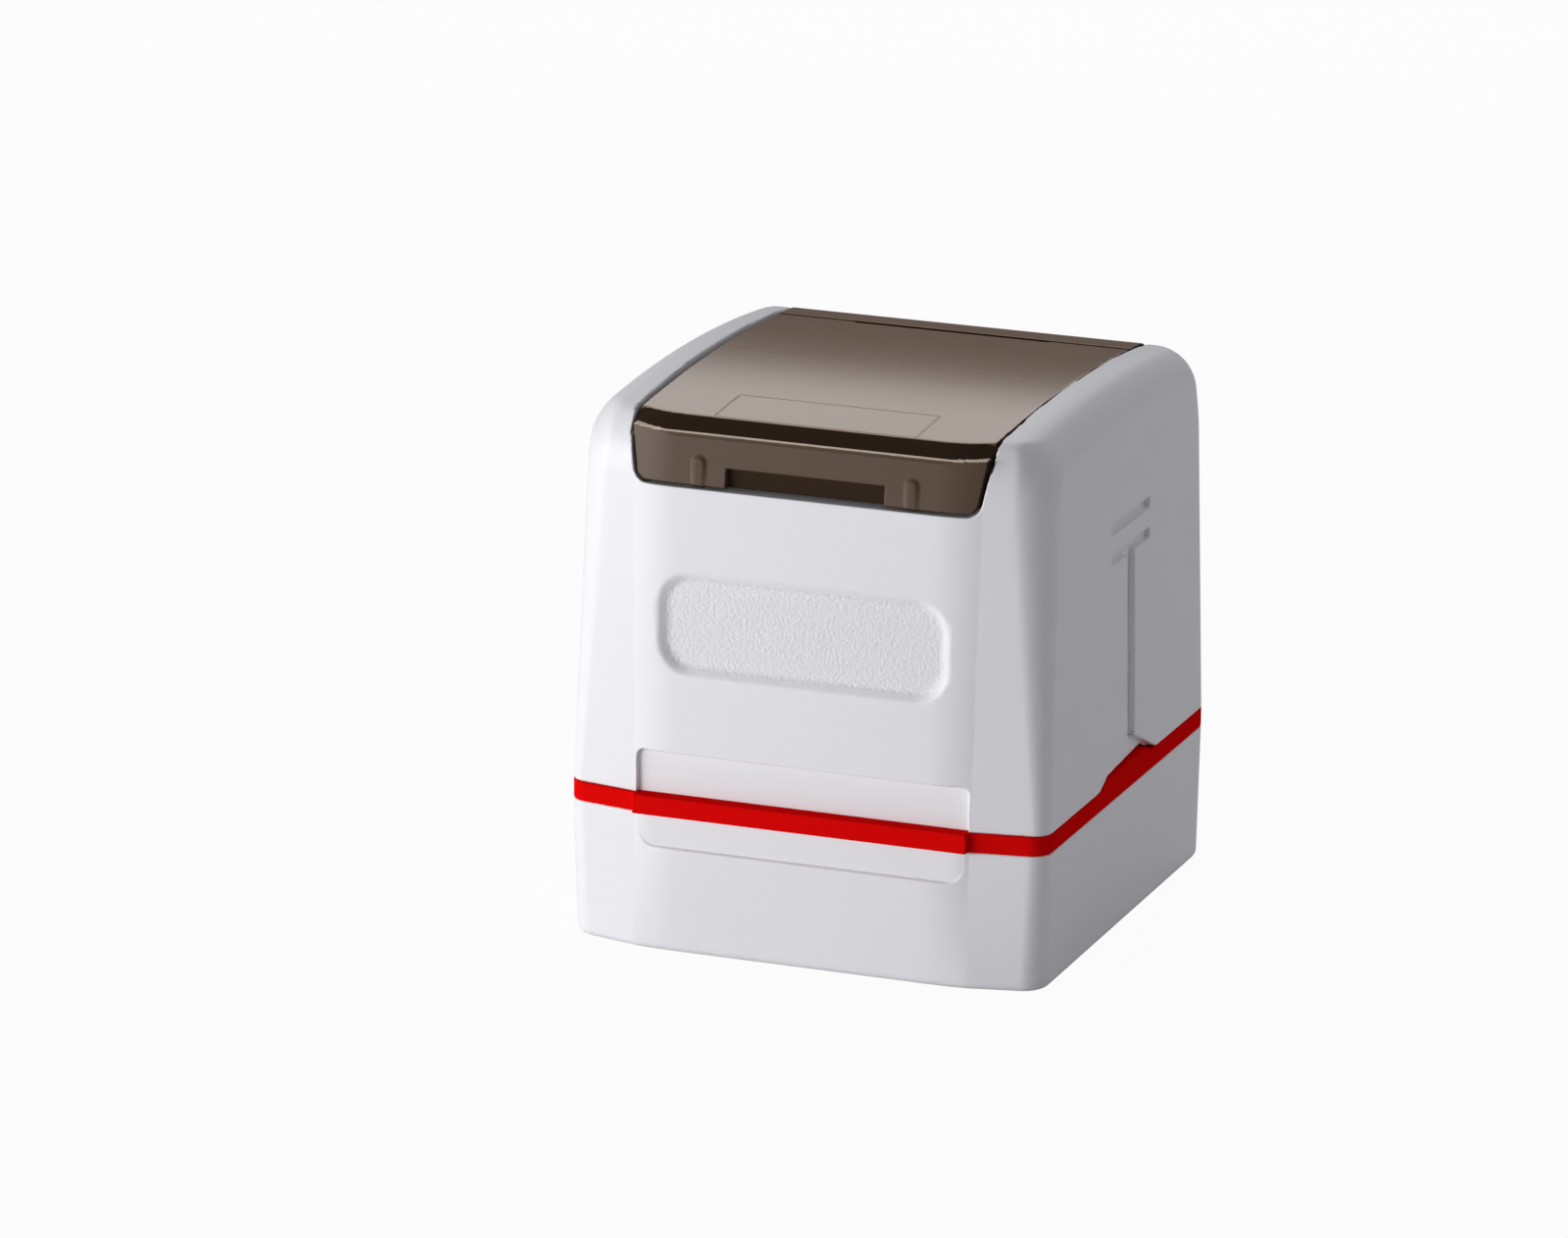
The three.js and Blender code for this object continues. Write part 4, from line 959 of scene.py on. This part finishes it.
ahead = Vector((
    -math.sin(AZIMUTH) * math.cos(ELEVATION),
    math.cos(AZIMUTH) * math.cos(ELEVATION),
    -math.sin(ELEVATION)))
level_right = Vector((math.cos(AZIMUTH), math.sin(AZIMUTH), 0))
level_up = level_right.cross(ahead)
right = math.cos(ROLL) * level_right + math.sin(ROLL) * level_up
up = math.cos(ROLL) * level_up - math.sin(ROLL) * level_right
lens = bpy.data.cameras.new("camera")
camera = add_object("camera", lens)
lens.sensor_fit = "HORIZONTAL"
lens.sensor_width = SENSOR_WIDTH
lens.lens = FOCAL_PIXELS / PHOTO_WIDTH * SENSOR_WIDTH
lens.clip_start = CLIP_NEAR
lens.clip_end = CLIP_FAR
facing = Matrix((right, up, -ahead)).transposed().to_4x4()
camera.matrix_world = Matrix.Translation(Vector(CAMERA_PLACE) * MM) @ facing
bpy.context.scene.camera = camera

# Floor, lamps and world

FLOOR_REACH = 3.0
FLOOR_GREY = 0.8
FLOOR_GLOW = 0.95
AMBIENT_COLOR = (0.93, 0.93, 1.0, 1)
AMBIENT_STRENGTH = 0.15
PLAIN_WHITE = (1, 1, 1, 1)


def seen_directly(tree):
    """1 on rays from the camera, also behind something clear, and 0 on all others."""
    path = tree.nodes.new("ShaderNodeLightPath")
    seen = tree.nodes.new("ShaderNodeMath")
    seen.operation = "MAXIMUM"
    tree.links.new(path.outputs["Is Camera Ray"], seen.inputs[0])
    tree.links.new(path.outputs["Is Transmission Ray"], seen.inputs[1])
    return seen.outputs[0]


def blend_shaders(tree, share, first, second, out):
    blend = tree.nodes.new("ShaderNodeMixShader")
    tree.links.new(share, blend.inputs["Fac"])
    tree.links.new(first.outputs[0], blend.inputs[1])
    tree.links.new(second.outputs[0], blend.inputs[2])
    tree.links.new(blend.outputs[0], out.inputs["Surface"])


def plain_floor():
    """A pale floor that takes shadows and fades into the white behind it."""
    mesh = bpy.data.meshes.new("floor")
    corners = [(x * FLOOR_REACH, y * FLOOR_REACH, 0) for x, y in ((-1, -1), (1, -1), (1, 1), (-1, 1))]
    mesh.from_pydata(corners, [], [(0, 1, 2, 3)])
    floor = add_object("floor", mesh)
    made = bpy.data.materials.new("pale floor")
    made.use_nodes = True
    tree = made.node_tree
    tree.nodes.clear()
    out = tree.nodes.new("ShaderNodeOutputMaterial")
    lit = tree.nodes.new("ShaderNodeBsdfDiffuse")
    lit.inputs["Color"].default_value = (FLOOR_GREY, FLOOR_GREY, FLOOR_GREY, 1)
    glow = tree.nodes.new("ShaderNodeEmission")
    glow.inputs["Color"].default_value = PLAIN_WHITE
    part = tree.nodes.new("ShaderNodeMath")
    part.operation = "MULTIPLY"
    part.inputs[1].default_value = FLOOR_GLOW
    tree.links.new(seen_directly(tree), part.inputs[0])
    blend_shaders(tree, part.outputs[0], lit, glow, out)
    mesh.materials.append(made)


def lamp(name, azimuth, elevation, distance, width, height, power):
    """An area lamp that faces the stamp's middle, with azimuth 0 in front of it."""
    data = bpy.data.lights.new(name, "AREA")
    data.shape = "RECTANGLE"
    data.size = width
    data.size_y = height
    data.energy = power
    light = add_object(name, data)
    a, e = math.radians(azimuth), math.radians(elevation)
    back = Vector((math.sin(a) * math.cos(e), -math.cos(a) * math.cos(e), math.sin(e)))
    light.location = Vector((0, 0, TOP_Z / 2 * MM)) + back * distance
    light.rotation_mode = "QUATERNION"
    light.rotation_quaternion = back.to_track_quat("Z", "Y")


def studio_world():
    """White behind the stamp and a faint even light round it."""
    world = bpy.data.worlds.new("studio")
    bpy.context.scene.world = world
    world.use_nodes = True
    tree = world.node_tree
    tree.nodes.clear()
    out = tree.nodes.new("ShaderNodeOutputWorld")
    ambient = tree.nodes.new("ShaderNodeBackground")
    ambient.inputs["Color"].default_value = AMBIENT_COLOR
    ambient.inputs["Strength"].default_value = AMBIENT_STRENGTH
    backdrop = tree.nodes.new("ShaderNodeBackground")
    backdrop.inputs["Color"].default_value = PLAIN_WHITE
    backdrop.inputs["Strength"].default_value = 1.0
    blend_shaders(tree, seen_directly(tree), ambient, backdrop, out)


# Azimuth, elevation, distance, width, height and power
LAMPS = {
    "key": (-50, 5, 0.42, 0.3, 0.12, 1.12),
    "front": (-26, 4, 0.8, 0.5, 0.15, 1.1),
    "softbox behind": (201, 40, 0.8, 0.6, 0.6, 2.15),
    "side": (120, 36, 0.8, 0.6, 0.6, 1.08),
}

plain_floor()
for name, values in LAMPS.items():
    lamp(name, *values)
studio_world()
bpy.context.scene.view_settings.view_transform = "Standard"
